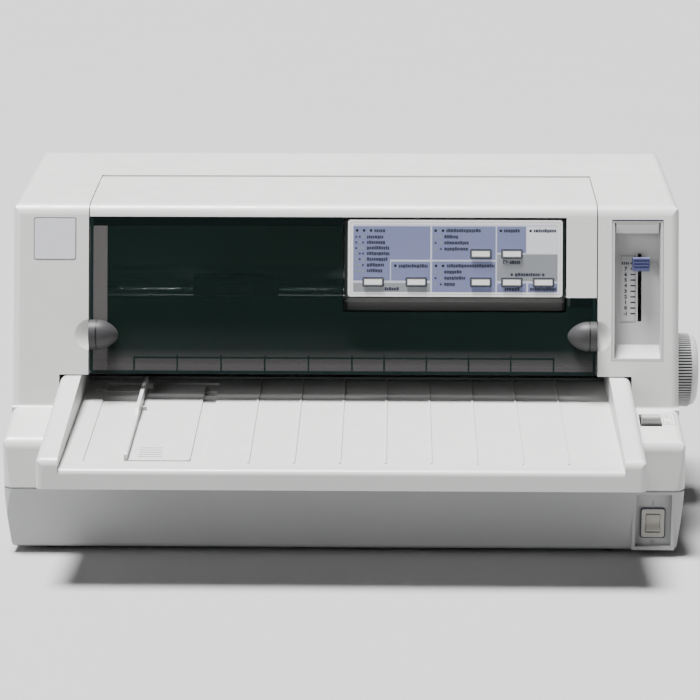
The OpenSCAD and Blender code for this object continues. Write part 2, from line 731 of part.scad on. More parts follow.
module cover_frame() {
  color([0.86, 0.86, 0.85])
  difference() {
    union() {
      along_x(cover_a, cover_b) {
        difference() {
          outline([face_pt(window_v1 - 20, 0), [ridge_y, ridge_z], top_pt(hinge_s - 1, 0),
            top_pt(hinge_s - 1, -30), face_pt(window_v1 - 20, -30)], [0, ridge_r, 0, 0, 0]);
          outline([face_pt(window_v1 - 25, -wall), CAVITY_SIDE_IN[3], top_pt(hinge_s + 4, -wall),
            top_pt(hinge_s + 4, -35), face_pt(window_v1 - 25, -35)], [0, ridge_r - wall, 0, 0, 0]);
          polygon([face_pt(window_v1 - 25, 1), face_pt(window_v1, 1), face_pt(window_v1, -wall - 1),
            face_pt(window_v1 - 25, -wall - 1)]);
        }
        translate(cover_axis) circle(knuckle_r);
      }
      // strip right of the panel
      on_face(0, 0, -wall) along_z(0, wall) plate([cut_b, strip_v], [cover_b, window_v1 + 0.2], 0);
      // ledges the window is fixed to
      on_face() {
        block([cover_a + 1, window_v1 - 6, -5], [cut_a - 1, window_v1 + 6, -wall]);
        block([cut_a - 1, window_v1, -5], [cut_b + 1, window_v1 + 6, -wall]);
        block([cover_a + 1, window_v1 + 0.2, -5], [cover_b - 1, window_v1 + 6, -wall + 0.2]);
        block([cut_b + 1, strip_v - 6, -5], [cover_b - 1, window_v1 + 3, -wall]);
        block([cut_b + 1, strip_v + 0.2, -5], [cover_b - 1, window_v1 + 3, -wall + 0.2]);
      }
      // stiffening ribs under the top
      for (x = [cover_a + 1, -120, -60, 0, 60, 120, cover_b - 3])
        along_x(x, x + 2)
          polygon([top_pt(ridge_r + 2, -wall / 2), top_pt(hinge_s - 8, -wall / 2), top_pt(hinge_s - 14, -8),
            top_pt(ridge_r + 6, -8)]);
    }
    for (s = [0, 1])
      mirror([s, 0, 0])
        bar_x(cover_axis, pin_r + run_gap, (s == 0 ? cover_a : -cover_b) - 1,
            (s == 0 ? cover_a : -cover_b) + 11);
  }
}

module cover_window() {
  v0 = pillar_v + 0.8;
  color([0.1, 0.16, 0.14, 0.55])
  on_face() {
    along_z(-window_t, 0)
      outline([[cover_a, v0], [cover_a, window_v1], [cut_a, window_v1], [cut_a, cut_v], [cut_b, cut_v],
        [cut_b, strip_v], [cover_b, strip_v], [cover_b, v0]], [2.5, 0, 0, 2, 2, 0, 0, 2.5]);
    // turned rim at the foot and the sides
    block([cover_a + 2, v0 + 0.5, -5.5], [cover_b - 2, v0 + 2.5, -window_t + 0.1]);
    for (x = [cover_a, cover_b - 2]) block([x, v0 + 2, -5.5], [x + 2, v0 + 50, -window_t + 0.1]);
    // comb of ribs behind the foot
    block([cover_x0 + 31.5, v0 + 11.6, -6.5], [cover_x1 - 32, v0 + 12.6, -window_t + 0.1]);
    for (x = [cover_x0 + 31.5:(cover_x1 - cover_x0 - 63.5) / 10:cover_x1 - 31])
      block([x - 0.4, v0 + 4.4, -6.5], [x + 0.4, v0 + 12.6, -window_t + 0.1]);
    // finger grips
    for (s = [0, 1])
      mirror([s, 0, 0])
        translate([s == 0 ? cover_a : -cover_b, grip_v, -3])
          intersection() {
            rotate([0, 90, 0]) rotate_extrude() {
              square([grip_d / 2, grip_band + tiny]);
              intersection() {
                translate([grip_d / 2 - grip_rho, grip_band]) circle(grip_rho);
                translate([0, grip_band]) square([grip_d / 2, grip_l]);
              }
            }
            translate([-1, -20, 1]) cube([40, 40, 40]);
          }
  }
}

// ---- Control panel -------------------------------------------------------

module panel_housing() {
  x0 = cut_a + 0.8;
  x1 = cut_b - 0.8;
  side = [[cut_v + 1.3, -panel_d], [cut_v + 1.3, -panel_d + 3], [panel_v, -3],
      [panel_v + panel_h + 0.3, -3],
    [panel_v + panel_h + 0.3, -panel_d]];
  color([0.3, 0.31, 0.32])
  on_face()
    difference() {
      union() {
        along_x(x0, x1) outline(side, [0, 1, 1, 1, 0]);
        // arm to the inner wall of the case
        block([x1 - 1, panel_v + 12, -panel_d], [cover_x1, panel_v + 42, -panel_d + 3]);
        block([cover_x1 - 2, panel_v + 12, -panel_d - 14], [cover_x1, panel_v + 42, -panel_d + 3]);
        block([x1 - 1, panel_v + 26, -panel_d - 8], [cover_x1, panel_v + 28, -panel_d + 3]);
      }
      block([x0 + 2, cut_v + 3.3, -panel_d + 2], [x1 - 2, panel_v + panel_h - 1.7, -panel_d + 3.2]);
      block([x0 + 2, panel_v + 4, -panel_d + 2], [x1 - 2, panel_v + panel_h - 1.7, -5]);
      block([panel_x + 3, panel_v + 4, -6], [panel_x + panel_w - 3, panel_v + panel_h - 3, 1]);
      // way out for the cable
      block([x0 + 30, panel_v + 20, -panel_d - 1], [x0 + 50, panel_v + 24, -panel_d + 3]);
    }
}

// Clear holes for the buttons
module button_holes(w0, w1, gap) {
  for (b = BUTTON_AT)
    translate([panel_x + b.x, panel_v + b.y, 0])
      along_z(w0, w1)
        plate([-button_w / 2 - gap, -button_h / 2 - gap], [button_w / 2 + gap, button_h / 2 + gap], 0.8);
}

module panel_bezel() {
  color([0.8, 0.8, 0.79])
  on_face()
    difference() {
      along_z(-3, 0) plate([panel_x, panel_v], [panel_x + panel_w, panel_v + panel_h], 2);
      along_z(-0.6, 1) plate([panel_x + 3.6, panel_v + 3.2],
          [panel_x + panel_w - 3.2, panel_v + panel_h - 3.2], 1);
      button_holes(-5, 1, 0.2);
      for (p = LED_AT) translate([panel_x + p.x - 1.2, panel_v + p.y - 1.2, -5]) cube([2.4, 2.4, 6]);
    }
}

module panel_overlay() {
  color([0.58, 0.62, 0.76])
  on_face()
    difference() {
      along_z(-0.6, 0)
        plate([panel_x + 3.6 + tiny, panel_v + 3.2 + tiny],
          [panel_x + panel_w - 3.2 - tiny, panel_v + panel_h - 3.2 - tiny], 1);
      button_holes(-5, 1, 0.5);
      for (p = LED_AT) translate([panel_x + p.x - 1.1, panel_v + p.y - 1.1, -5]) cube([2.2, 2.2, 6]);
    }
}

module panel_board() {
  color([0.15, 0.35, 0.22])
  on_face() {
    difference() {
      block([panel_x + 5, panel_v + 5, -11], [panel_x + panel_w - 5, panel_v + panel_h - 5, -9.4]);
      for (p = BOARD_HOLES) translate([p.x, p.y, -12]) cylinder(r = 1.6, h = 4);
    }
    for (b = BUTTON_AT)
      translate([panel_x + b.x, panel_v + b.y, -9.4 - tiny]) {
        translate([-3, -3, 0]) cube([6, 6, 3]);
        cylinder(r = 1.7, h = 4.1);
      }
    for (x = [10, 70, 122]) translate([panel_x + x, panel_v + 32, -9.4 - tiny]) cube([9, 4, 1.5]);
    for (p = BOARD_HOLES)
      translate([p.x, p.y, -panel_d + 2])
        difference() {
          cylinder(r = 3, h = panel_d - 13 + tiny);
          translate([0, 0, -1]) cylinder(r = 1.3, h = 8);
        }
  }
}

module panel_leds() {
  color([0.15, 0.2, 0.12])
  on_face()
    for (p = LED_AT) translate([panel_x + p.x - 1, panel_v + p.y - 1, -9.4]) cube([2, 2, 9.35]);
}

module button(i) {
  b = BUTTON_AT[i];
  color([0.9, 0.9, 0.88])
  on_face(panel_x + b.x, panel_v + b.y) {
    along_z(-4, 1.6) plate([-button_w / 2, -button_h / 2], [button_w / 2, button_h / 2], 0.8);
    along_z(-4, -3.1) plate([-button_w / 2 - 1, -button_h / 2 - 0.8],
        [button_w / 2 + 1, button_h / 2 + 0.8], 0.8);
  }
}

module button_font() { button(0); }
module button_condensed() { button(1); }
module button_source() { button(2); }
module button_tear_off() { button(3); }
module button_pause() { button(4); }
module button_line_feed() { button(5); }
module button_load() { button(6); }

// ---- Levers and switch ---------------------------------------------------

module lever_pocket() {
  sx = lever_x - pocket_x;
  color([0.78, 0.78, 0.77])
  on_face(pocket_x, pocket_v)
    difference() {
      union() {
        block([fit, fit, -pocket_d - 2], [pocket_w - fit, pocket_h - fit, -0.4]);
        block([-3, -3, -wall - 1.5], [pocket_w + 3, pocket_h + 3, -wall]);
      }
      difference() {
        block([2, 2, -pocket_d], [pocket_w - 2, pocket_h - 2, 1]);
        // sloping ledge below, bevelled tab above
        along_x(0, pocket_w) polygon([[0, -1.5], [12, -pocket_d], [0, -pocket_d - 1]]);
        along_x(3.2, pocket_w - 3.2)
          polygon([[pocket_h, -1], [pocket_h - 3.5, -1], [pocket_h - 9.5, -4.5], [pocket_h - 9.5, -6],
            [pocket_h, -6]]);
      }
      // slot of the lever and outline of the scale
      block([sx - 1.4, 63 - pocket_v, -pocket_d - 5], [sx + 1.4, 112 - pocket_v, -pocket_d + 1]);
      difference() {
        block([sx - 15, 62 - pocket_v, -pocket_d - 0.4], [sx - 3, 111 - pocket_v, -pocket_d + 1]);
        block([sx - 14.4, 62.6 - pocket_v, -pocket_d - 1], [sx - 3.6, 110.4 - pocket_v, -pocket_d + 2]);
      }
    }
}

module gap_lever() {
  tip = face_pt(knob_v, -3);
  u = unit(tip - guide_axis);
  n = [-u.y, u.x];
  color([0.55, 0.56, 0.58])
  difference() {
    union() {
      along_x(lever_x - lever_t / 2, lever_x + lever_t / 2) {
        translate(guide_axis) circle(10);
        polygon([guide_axis + n * 9, guide_axis - n * 9, guide_axis + u * 60 - n * 3, tip - n * 3,
          tip + n * 3, guide_axis + u * 60 + n * 3]);
      }
      bar_x(guide_axis, 8, lever_x - 5, lever_x + 2);
    }
    bar_x(guide_axis, guide_r + tiny, lever_x - 6, lever_x + 4);
    along_x(lever_x - 2, lever_x + 2) translate(guide_axis + u * 28) circle(3.5);
    along_x(lever_x - 2, lever_x + 2) translate(guide_axis + u * 44) circle(2.5);
  }
}

module gap_lever_knob() {
  color([0.35, 0.4, 0.68])
  on_face(lever_x, knob_v)
    difference() {
      union() {
        along_x(-6, 6) outline([[-5, -10], [-5, -1.5], [5, -1.5], [5, -10]], [1, 1.5, 1.5, 1]);
        for (v = [-3.4, -1.1, 1.2, 3.5]) block([-5.5, v - 0.55, -3], [5.5, v + 0.55, -0.7]);
      }
      // socket for the end of the lever
      translate([0, -knob_v, 0])
        rotate([-90 + face_lean, 0, 0]) translate([0, -face_y, -shoulder_z])
          along_x(-lever_t / 2 - tiny, lever_t / 2 + tiny) knob_socket();
    }
}

module knob_socket() {
  tip = face_pt(knob_v, -3);
  u = unit(tip - guide_axis);
  n = [-u.y, u.x];
  polygon([guide_axis + u * 60 + n * (3 + tiny), guide_axis + u * 60 - n * (3 + tiny),
    tip - n * (3 + tiny) + u * tiny, tip + n * (3 + tiny) + u * tiny]);
}

module carriage_shaft() {
  color([0.75, 0.76, 0.78])
  difference() {
    union() {
      bar_x(guide_axis, guide_r, -frame_x - 8, lever_x + 5);
      bar_x(guide_axis, guide_r + 2, lever_x + 2 + tiny, lever_x + 3.5);
    }
    // ring grooves at the ends
    for (x = [-frame_x - 6, lever_x + 3.8])
      difference() {
        bar_x(guide_axis, guide_r + 3, x, x + 0.8);
        bar_x(guide_axis, guide_r - 0.8, x - 1, x + 2);
      }
  }
}

module release_lever() {
  color([0.82, 0.82, 0.8])
  translate([0, release_axis.x, release_axis.y]) rotate([release_tilt, 0, 0]) {
    along_x(release_x[0], release_x[1]) {
      circle(5);
      outline([[-3, 0], [-2.6, 18], [-3.4, 22.5], [3.4, 22.5], [2.6, 18], [3, 0]], [0, 0, 1, 1, 0, 0]);
    }
    // scalloped head
    difference() {
      along_x(release_x[0], release_x[1]) outline([[-3.4, 20], [-3.4, 25], [3.4, 25], [3.4, 20]],
          [0, 2.5, 2.5, 0]);
      for (i = [0:4]) translate([release_x * [0.9 - i / 5, 0.1 + i / 5], 0, 25.6]) rotate([90, 0, 0])
          translate([0, 0, -5]) cylinder(r = 1.1, h = 10);
    }
    bar_x([0, 0], 3, tray_open + 0.5, release_x[1] + 4.5);
    // arm of the clutch rod
    along_x(release_x[0], release_x[0] + 2)
      outline([[-3, -20], [-4, 0], [4, 0], [3, -20]], [2.5, 0, 0, 2.5]);
  }
}

module switch_bezel() {
  color([0.68, 0.67, 0.63])
  difference() {
    union() {
      along_y(recess_y - 2, recess_y) plate([switch_x - 8, switch_z - 10.1],
          [switch_x + 8, switch_z + 10.1], 1.5);
      block([switch_x - 7.2, recess_y - 1, switch_z - 9], [switch_x + 7.2, recess_y + 18, switch_z + 9]);
      for (z = [-5, 0, 5])
        block([switch_x - 3, recess_y + 17, switch_z + z - 0.4],
            [switch_x + 3, recess_y + 26, switch_z + z + 0.4]);
    }
    block([switch_x - rocker_w / 2 - 0.3, recess_y - 5, switch_z - rocker_h / 2 - 0.4],
      [switch_x + rocker_w / 2 + 0.3, recess_y + 11, switch_z + rocker_h / 2 + 0.4]);
    bar_x(rocker_axis, 1.2 + run_gap, switch_x - rocker_w / 2 - 1.6, switch_x + rocker_w / 2 + 1.6);
  }
}

module switch_rocker() {
  color([0.78, 0.77, 0.72])
  translate([switch_x, rocker_axis.x, rocker_axis.y]) {
    rotate([-7, 0, 0])
      along_x(-rocker_w / 2, rocker_w / 2)
        outline([[-4.5, -6.1], [-2.6, 0], [-4.5, 6.1], [-1, 6.1], [4.5, 2.5], [4.5, -2.5], [-1, -6.1]],
          [0.6, 8, 0.6, 0.5, 1, 1, 0.5]);
    bar_x([0, 0], 1.2, -rocker_w / 2 - 1.3, rocker_w / 2 + 1.3);
  }
}

// ---- Mechanism -----------------------------------------------------------

ROLLER_X = [-150, -75, 0, 75, 150];

module side_frames() {
  side = [[frame_front, frame_foot], [frame_front, paper_z + 14], [frame_front + 40, frame_top],
      [frame_back, frame_top],
    [frame_back, frame_foot]];
  color([0.7, 0.71, 0.73])
  for (s = [-1, 1]) {
    difference() {
      union() {
        along_x(s > 0 ? frame_x : -frame_x - frame_t, s > 0 ? frame_x + frame_t : -frame_x)
          outline(side, [0, 6, 8, 8, 0]);
        block([s > 0 ? frame_x - 14 : -frame_x - tiny, frame_front, frame_foot],
          [s > 0 ? frame_x + tiny : -frame_x + 14, frame_back, frame_foot + frame_t]);
      }
      for (c = [front_roller, rear_roller]) bar_x(c, shaft_r + 3 + run_gap, s * frame_x - 5,
          s * frame_x + 5);
      bar_x(guide_axis, guide_r + 3 + run_gap, s * frame_x - 5, s * frame_x + 5);
      for (c = [front_pinch, rear_pinch]) bar_x(c, 2.5 + run_gap, s * frame_x - 5, s * frame_x + 5);
      if (s < 0) bar_x(pinion_axis, 8, -frame_x - 5, -frame_x + 5);
      // lightening holes and the screw holes of the foot
      bar_x([frame_back - 22, parting_z + 22], 12, s * frame_x - 5, s * frame_x + 5);
      bar_x([frame_back - 18, guide_axis.y + 2], 7, s * frame_x - 5, s * frame_x + 5);
      for (y = [frame_front + 12, frame_back - 12])
        translate([s * (frame_x - 10), y, frame_foot - 1]) cylinder(r = 2, h = 5);
    }
  }
  // stud of the idler gear
  bar_x(idler_axis, 2.5, -frame_x - frame_t - gear_w - 1.6, -frame_x - frame_t + tiny);
  bar_x(idler_axis, 4, -frame_x - frame_t - gear_w - 2.6, -frame_x - frame_t - gear_w - 1.5);
  bar_x(idler_axis, 4, -frame_x - frame_t - 0.5, -frame_x - frame_t + tiny);
}

module bottom_frame() {
  color([0.66, 0.67, 0.69])
  difference() {
    union() {
      block([-frame_x - frame_t, frame_front, frame_foot - 2], [frame_x + frame_t, frame_back, frame_foot]);
      block([-frame_x + 20, frame_back - 2, frame_foot - tiny],
          [frame_x - 20, frame_back, frame_foot + 10]);
      for (x = [-120:60:120]) block([x - 6, frame_front + 8, frame_foot - 0.5],
          [x + 6, frame_back - 8, frame_foot + 1]);
    }
    for (p = FRAME_POSTS) translate([p.x, p.y, 0]) cylinder(r = 2, h = 60);
    for (x = [-150:60:150]) along_z(20, 60) plate([x - 14, frame_front + 34], [x + 14, frame_back - 34], 6);
  }
}

module tie_bar() {
  y0 = guide_axis.x + 12;
  color([0.72, 0.73, 0.75])
  difference() {
    union() {
      block([-frame_x, y0, bar_z], [frame_x, frame_back, bar_z + 2]);
      block([-frame_x, frame_back - 2, bar_z], [frame_x, frame_back, bar_z + 14]);
      for (s = [-1, 1]) block([s > 0 ? frame_x - 2 : -frame_x, y0 + 4, bar_z],
          [s > 0 ? frame_x : -frame_x + 2, frame_back, bar_z + 14]);
      // stud of the idler pulley
      translate([-motor_x, belt_y, belt_z - belt_h / 2 - 3])
          cylinder(r = 2, h = bar_z - belt_z + belt_h / 2 + 3.5);
      translate([-motor_x, belt_y, belt_z - belt_h / 2 - 3]) cylinder(r = 3.5, h = 1);
    }
    translate([motor_x, belt_y, bar_z - 1]) cylinder(r = 6, h = 5);
    for (x = [-120:60:120]) along_z(bar_z - 1, bar_z + 3)
        plate([x - 16, y0 + 14], [x + 16, frame_back - 10], 5);
  }
}

module paper_bed() {
  z1 = paper_z - 0.6;
  color([0.35, 0.36, 0.37])
  difference() {
    union() {
      block([-frame_x, tray_back + 1.2, z1 - 2.4], [frame_x, platen_y - 6.5, z1]);
      block([-frame_x, platen_y + 6.5, z1 - 2.4], [frame_x, frame_back, z1]);
      block([-frame_x + 4, frame_back - 1, z1 - 2.4], [frame_x - 4, rear_y - 0.6, z1]);
      // lead-in that meets the tray
      along_x(-frame_x + 6, frame_x - 6)
        polygon([[tray_back + 1.2, z1 - 5], [tray_back + 1.2, z1 - 1.2], [tray_back + 4, z1],
            [tray_back + 4, z1 - 5]]);
      // raised ribs the sheet slides on
      for (x = [-165, -110, -40, 40, 110, 165])
        block([x - 0.75, frame_back - 40, z1 - 0.5], [x + 0.75, rear_y - 1, z1 + 0.4]);
      // yokes that join both halves under the platen
      for (x = [-112, -37, 37, 112]) {
        block([x - 2, platen_y - 9, z1 - 10], [x + 2, platen_y + 9, z1 - 6]);
        for (y = [-9, 6.8]) block([x - 2, platen_y + y, z1 - 10], [x + 2, platen_y + y + 2.2, z1 - 2]);
      }
      // stiffening webs below
      for (y = [rear_roller.x + 16, frame_back - 12])
        block([-frame_x + 2, y, z1 - 10], [frame_x - 2, y + 2, z1 - 2]);
    }
    for (x = ROLLER_X, c = [front_roller, rear_roller])
      block([x - 12.5, c.x - 9, z1 - 12], [x + 12.5, c.x + 9, z1 + 2]);
    // cut-outs over the frame feet of the bushes
    for (s = [-1, 1], c = [front_roller, rear_roller])
      block([s * frame_x - 3, c.x - 10, z1 - 12], [s * frame_x + 3, c.x + 10, z1 + 2]);
  }
}

module platen() {
  color([0.2, 0.2, 0.21])
  difference() {
    union() {
      along_x(-frame_x, frame_x)
        outline([[platen_y - 5, paper_z - 6], [platen_y - 5, paper_z - 0.4], [platen_y + 5, paper_z - 0.4],
          [platen_y + 5, paper_z - 6]], [0, 1.2, 1.2, 0]);
      block([-frame_x + 46, platen_y - 1.5, paper_z - 16], [frame_x - 4, platen_y + 1.5, paper_z - 5.9]);
    }
    // notches over the yokes of the bed
    for (x = [-112, -37, 37, 112])
      block([x - 2.5, platen_y - 3, paper_z - 17], [x + 2.5, platen_y + 3, paper_z - 6]);
  }
}

module shaft_bushes() {
  color([0.72, 0.58, 0.32])
  for (s = [-1, 1]) {
    for (c = [front_roller, rear_roller])
      difference() {
        union() {
          bar_x(c, shaft_r + 3, s > 0 ? frame_x - 1.5 : -frame_x - frame_t,
              s > 0 ? frame_x + frame_t : -frame_x + 1.5);
          bar_x(c, shaft_r + 5, s > 0 ? frame_x - 1.5 : -frame_x, s > 0 ? frame_x : -frame_x + 1.5);
        }
        bar_x(c, shaft_r + run_gap, s * frame_x - 5, s * frame_x + 5);
      }
    difference() {
      union() {
        bar_x(guide_axis, guide_r + 3, s > 0 ? frame_x - 1.5 : -frame_x - frame_t,
            s > 0 ? frame_x + frame_t : -frame_x + 1.5);
        bar_x(guide_axis, guide_r + 5, s > 0 ? frame_x - 1.5 : -frame_x, s > 0 ? frame_x : -frame_x + 1.5);
      }
      bar_x(guide_axis, guide_r + run_gap, s * frame_x - 5, s * frame_x + 5);
    }
  }
}

module rear_roller_shaft() {
  color([0.76, 0.77, 0.79])
  bar_x(rear_roller, shaft_r, -frame_x - frame_t - gear_w - 2, half_w + knob_out - 6);
}

module front_roller_shaft() {
  color([0.76, 0.77, 0.79])
  bar_x(front_roller, shaft_r, -frame_x - frame_t - gear_w - 2, frame_x + frame_t + 3);
}

module roller_sleeves(c) {
  color([0.16, 0.16, 0.16])
  for (x = ROLLER_X)
    difference() {
      bar_x(c, roller_r, x - 11, x + 11);
      bar_x(c, shaft_r + tiny, x - 12, x + 12);
    }
}

module rear_roller_sleeves() { roller_sleeves(rear_roller); }
module front_roller_sleeves() { roller_sleeves(front_roller); }

// Gear of the feed train, outside the left side frame
module feed_gear(c, z, turn, bore) {
  x1 = -frame_x - frame_t - 1;
  difference() {
    union() {
      along_x(x1 - gear_w, x1) translate(c) gear_2d(z, turn);
      bar_x(c, min(bore + 3, gear_m * z / 2 - 1.2), x1 - gear_w - 0.4, x1 + 0.5);
    }
    bar_x(c, bore, x1 - gear_w - 2, x1 + 2);
    if (z > 16)
      for (a = [0:60:300]) bar_x(c + (bore + gear_m * z / 2) / 2 * [cos(a + 30), sin(a + 30)], 1.2,
          x1 - gear_w - 2, x1 + 2);
  }
}

module rear_roller_gear() { color([0.85, 0.85, 0.8]) feed_gear(rear_roller, roller_teeth, 0,
    shaft_r + tiny); }
module front_roller_gear() { color([0.85, 0.85, 0.8]) feed_gear(front_roller, roller_teeth, 0,
    shaft_r + tiny); }
module feed_idler_gear() { color([0.8, 0.8, 0.75]) feed_gear(idler_axis, idler_teeth, 0.5, 2.5 + run_gap); }
module feed_pinion() { color([0.72, 0.6, 0.35]) feed_gear(pinion_axis, pinion_teeth, 0.5, 2 + run_gap); }

module feed_motor() {
  color([0.4, 0.41, 0.43])
  difference() {
    union() {
      bar_x(pinion_axis, 17, -frame_x + 2, -frame_x + 34);
      bar_x(pinion_axis, 7, -frame_x - 1.5, -frame_x + 2.1);
      bar_x(pinion_axis, 2, -frame_x - frame_t - gear_w - 2, -frame_x + 4);
      along_x(-frame_x, -frame_x + 2)
        translate(pinion_axis) outline([[-17, -8], [-17, 8], [-8, 17], [8, 17], [17, 8], [17, -8],
            [8, -17], [-8, -17]],
          [4, 4, 4, 4, 4, 4, 4, 4]);
      block([-frame_x + 12, pinion_axis.x + 15, pinion_axis.y - 6],
          [-frame_x + 26, pinion_axis.x + 21, pinion_axis.y + 4]);
    }
    for (x = [6, 30]) difference() {
      bar_x(pinion_axis, 19, -frame_x + x, -frame_x + x + 0.8);
      bar_x(pinion_axis, 16.5, -frame_x + x - 1, -frame_x + x + 2);
    }
  }
}

module platen_knob() {
  flute = 1.1;
  n = flute_count;
  color([0.78, 0.78, 0.77])
  difference() {
    union() {
      translate([half_w, rear_roller.x, rear_roller.y]) rotate([0, 90, 0]) rotate_extrude()
        outline([[0, 1.5], [0, knob_out], [knob_d / 2 - flute, knob_out], [knob_d / 2 - flute, 1.5]],
          [0, 0, 5, 1.5]);
      along_x(half_w + 3.5, half_w + knob_out - 5.5)
        translate(rear_roller)
          polygon([for (i = [0:n - 1], k = [0:3])
            let (a = 360 * (i + k / 4) / n) (knob_d / 2 - (k < 2 ? 0 : flute)) * [cos(a), sin(a)]]);
      bar_x(rear_roller, 9, half_w - 12, half_w + 2);
    }
    bar_x(rear_roller, shaft_r + tiny, half_w - 13, half_w + knob_out - 6);
    // dished end and hollow back
    bar_x(rear_roller, knob_d / 2 - 8, half_w + knob_out - 1.6, half_w + knob_out + 1);
    difference() {
      bar_x(rear_roller, knob_d / 2 - 4, half_w + 1, half_w + knob_out - 5);
      bar_x(rear_roller, 9, half_w, half_w + knob_out);
      for (a = [0:60:300])
        translate([half_w, rear_roller.x, rear_roller.y]) rotate([a, 0, 0]) translate([0, 0, -1])
            cube([knob_out, knob_d / 2, 2]);
    }
  }
}

module pinch_set(c) {
  bar_x(c, 2.5, -frame_x - frame_t - 1, frame_x + frame_t + 1);
  for (x = ROLLER_X) bar_x(c, pinch_r, x - 8, x + 8);
}

module front_pinch_rollers() { color([0.3, 0.3, 0.32]) pinch_set(front_pinch); }
module rear_pinch_rollers() { color([0.3, 0.3, 0.32]) pinch_set(rear_pinch); }

module carriage_motor() {
  color([0.38, 0.39, 0.41])
  translate([motor_x, belt_y, bar_z + 2]) {
    cylinder(r = 17, h = 32);
    translate([0, 0, 32]) cylinder(r = 5, h = 2);
    translate([0, 0, -2.4 - tiny]) cylinder(r = 5.5, h = 3);
    translate([0, 0, belt_z - belt_h / 2 - 3 - bar_z - 2]) cylinder(r = 2, h = 20);
    translate([-5, 15, 18]) cube([10, 6, 8]);
  }
}

module pulley() {
  difference() {
    union() {
      cylinder(r = pulley_r - 0.1, h = belt_h);
      for (z = [-1, belt_h + 0.2]) translate([0, 0, z]) cylinder(r = pulley_r + 1.8, h = 0.8);
      translate([0, 0, -0.5]) cylinder(r = pulley_r - 1, h = belt_h + 1);
    }
    translate([0, 0, -2]) cylinder(r = 2 + run_gap, h = belt_h + 4);
    for (a = [0:60:300]) rotate([0, 0, a]) translate([5, 0, -2]) cylinder(r = 1.2, h = belt_h + 4);
  }
}

module motor_pulley() { color([0.7, 0.71, 0.73]) translate([motor_x, belt_y, belt_z - belt_h / 2])
    pulley(); }
module idler_pulley() { color([0.25, 0.25, 0.27]) translate([-motor_x, belt_y, belt_z - belt_h / 2])
    pulley(); }

module carriage_belt() {
  color([0.13, 0.13, 0.13])
  along_z(belt_z - belt_h / 2 + 0.1, belt_z + belt_h / 2 - 0.1)
    difference() {
      belt_loop(pulley_r + belt_t);
      belt_loop(pulley_r);
    }
}

module belt_loop(r) {
  for (x = [-motor_x, motor_x]) translate([x, belt_y]) circle(r);
  translate([-motor_x, belt_y - r]) square([2 * motor_x, 2 * r]);
}

module carriage() {
  w = carriage_w / 2;
  y1 = guide_axis.x + 10.5;
  color([0.26, 0.27, 0.28])
  translate([carriage_x, 0, 0])
  difference() {
    union() {
      along_x(-w, w)
        outline([[guide_axis.x - 10, guide_axis.y - 12], [guide_axis.x - 10, guide_axis.y + 14],
            [y1, guide_axis.y + 14],
          [y1, guide_axis.y - 12]], [0, 4, 4, 2]);
      // wall down to the platform of the head
      block([-w, guide_axis.x - 10, paper_z + 14], [w, guide_axis.x - 6, guide_axis.y - 5]);
      along_z(paper_z + 14, paper_z + 17) plate([-w, platen_y - 17], [w, guide_axis.x - 6], 2);
      for (x = [-w, w - 2]) block([x, platen_y - 15, paper_z + 16],
          [x + 2, guide_axis.x - 8, paper_z + 24]);
      // clamp of the belt and shoe on the tie bar
      block([-10, y1 - 1, belt_z - 6], [10, belt_y - pulley_r + 3, belt_z + 6]);
      block([-28, y1 - 1, bar_z + 2 + fit], [-12, y1 + 9, bar_z + 7]);
      block([-28, y1 - 1, bar_z - 5], [-12, y1 + 8, bar_z - fit]);
      block([-28, y1 - 2, bar_z - 5], [-12, y1, bar_z + 7]);
    }
    bar_x(guide_axis, guide_r + run_gap, -w - 1, w + 1);
    bar_x(guide_axis, guide_r + 1, -w + 12, w - 12);
    block([-11, belt_y - pulley_r - belt_t - 0.1, belt_z - belt_h / 2],
        [11, belt_y - pulley_r + 0.1, belt_z + belt_h / 2]);
    block([-9, platen_y - 6, paper_z + 10], [9, platen_y + 6, paper_z + 20]);
    for (x = [-18, 0, 18]) translate([x, guide_axis.x, guide_axis.y + 12]) cylinder(r = 4, h = 4);
  }
}

module print_head() {
  y0 = platen_y - 14;
  y1 = guide_axis.x - 11;
  z0 = paper_z + 17;
  color([0.5, 0.51, 0.53])
  translate([carriage_x, 0, 0])
  difference() {
    union() {
      block([-13, y0, z0], [13, y1, z0 + 42]);
      along_x(-7, 7)
        polygon([[platen_y - 5, z0 + tiny], [platen_y + 5, z0 + tiny], [platen_y + 2, paper_z + 0.7],
            [platen_y - 2, paper_z + 0.7]]);
      block([-11, y0 + 3, z0 + 41.9], [11, y1 - 3, z0 + 45]);
    }
    // cooling fins
    for (z = [z0 + 15:4:z0 + 39]) difference() {
      block([-14, y0 - 1, z], [14, y1 + 1, z + 2]);
      block([-8, y0 + 6, z - 1], [8, y1 - 6, z + 3]);
    }
  }
}

module ribbon_cartridge() {
  z0 = paper_z + 17;
  w = carriage_w / 2 - 2.5;
  color([0.12, 0.12, 0.13])
  translate([carriage_x, 0, 0]) {
    difference() {
      union() {
        along_z(z0, z0 + 13) plate([-w, platen_y - 27], [w, guide_axis.x - 11], 4);
        for (x = [-w + 1, w - 7]) block([x, platen_y - 24, z0 + 12], [x + 6, platen_y - 14, z0 + 17]);
      }
      block([-14, platen_y - 15, z0 - 1], [14, guide_axis.x, z0 + 14]);
      along_z(z0 + 12.4, z0 + 14) plate([-w + 2, platen_y - 25], [w - 2, platen_y - 17], 2);
    }
    translate([0, platen_y - 21, z0 + 12])
      difference() {
        cylinder(r = 5, h = 6);
        for (a = [0:30:330]) rotate([0, 0, a]) translate([5.3, 0, 2]) cylinder(r = 0.8, h = 5);
      }
  }
}

// ---- Electronics and rear connectors -------------------------------------

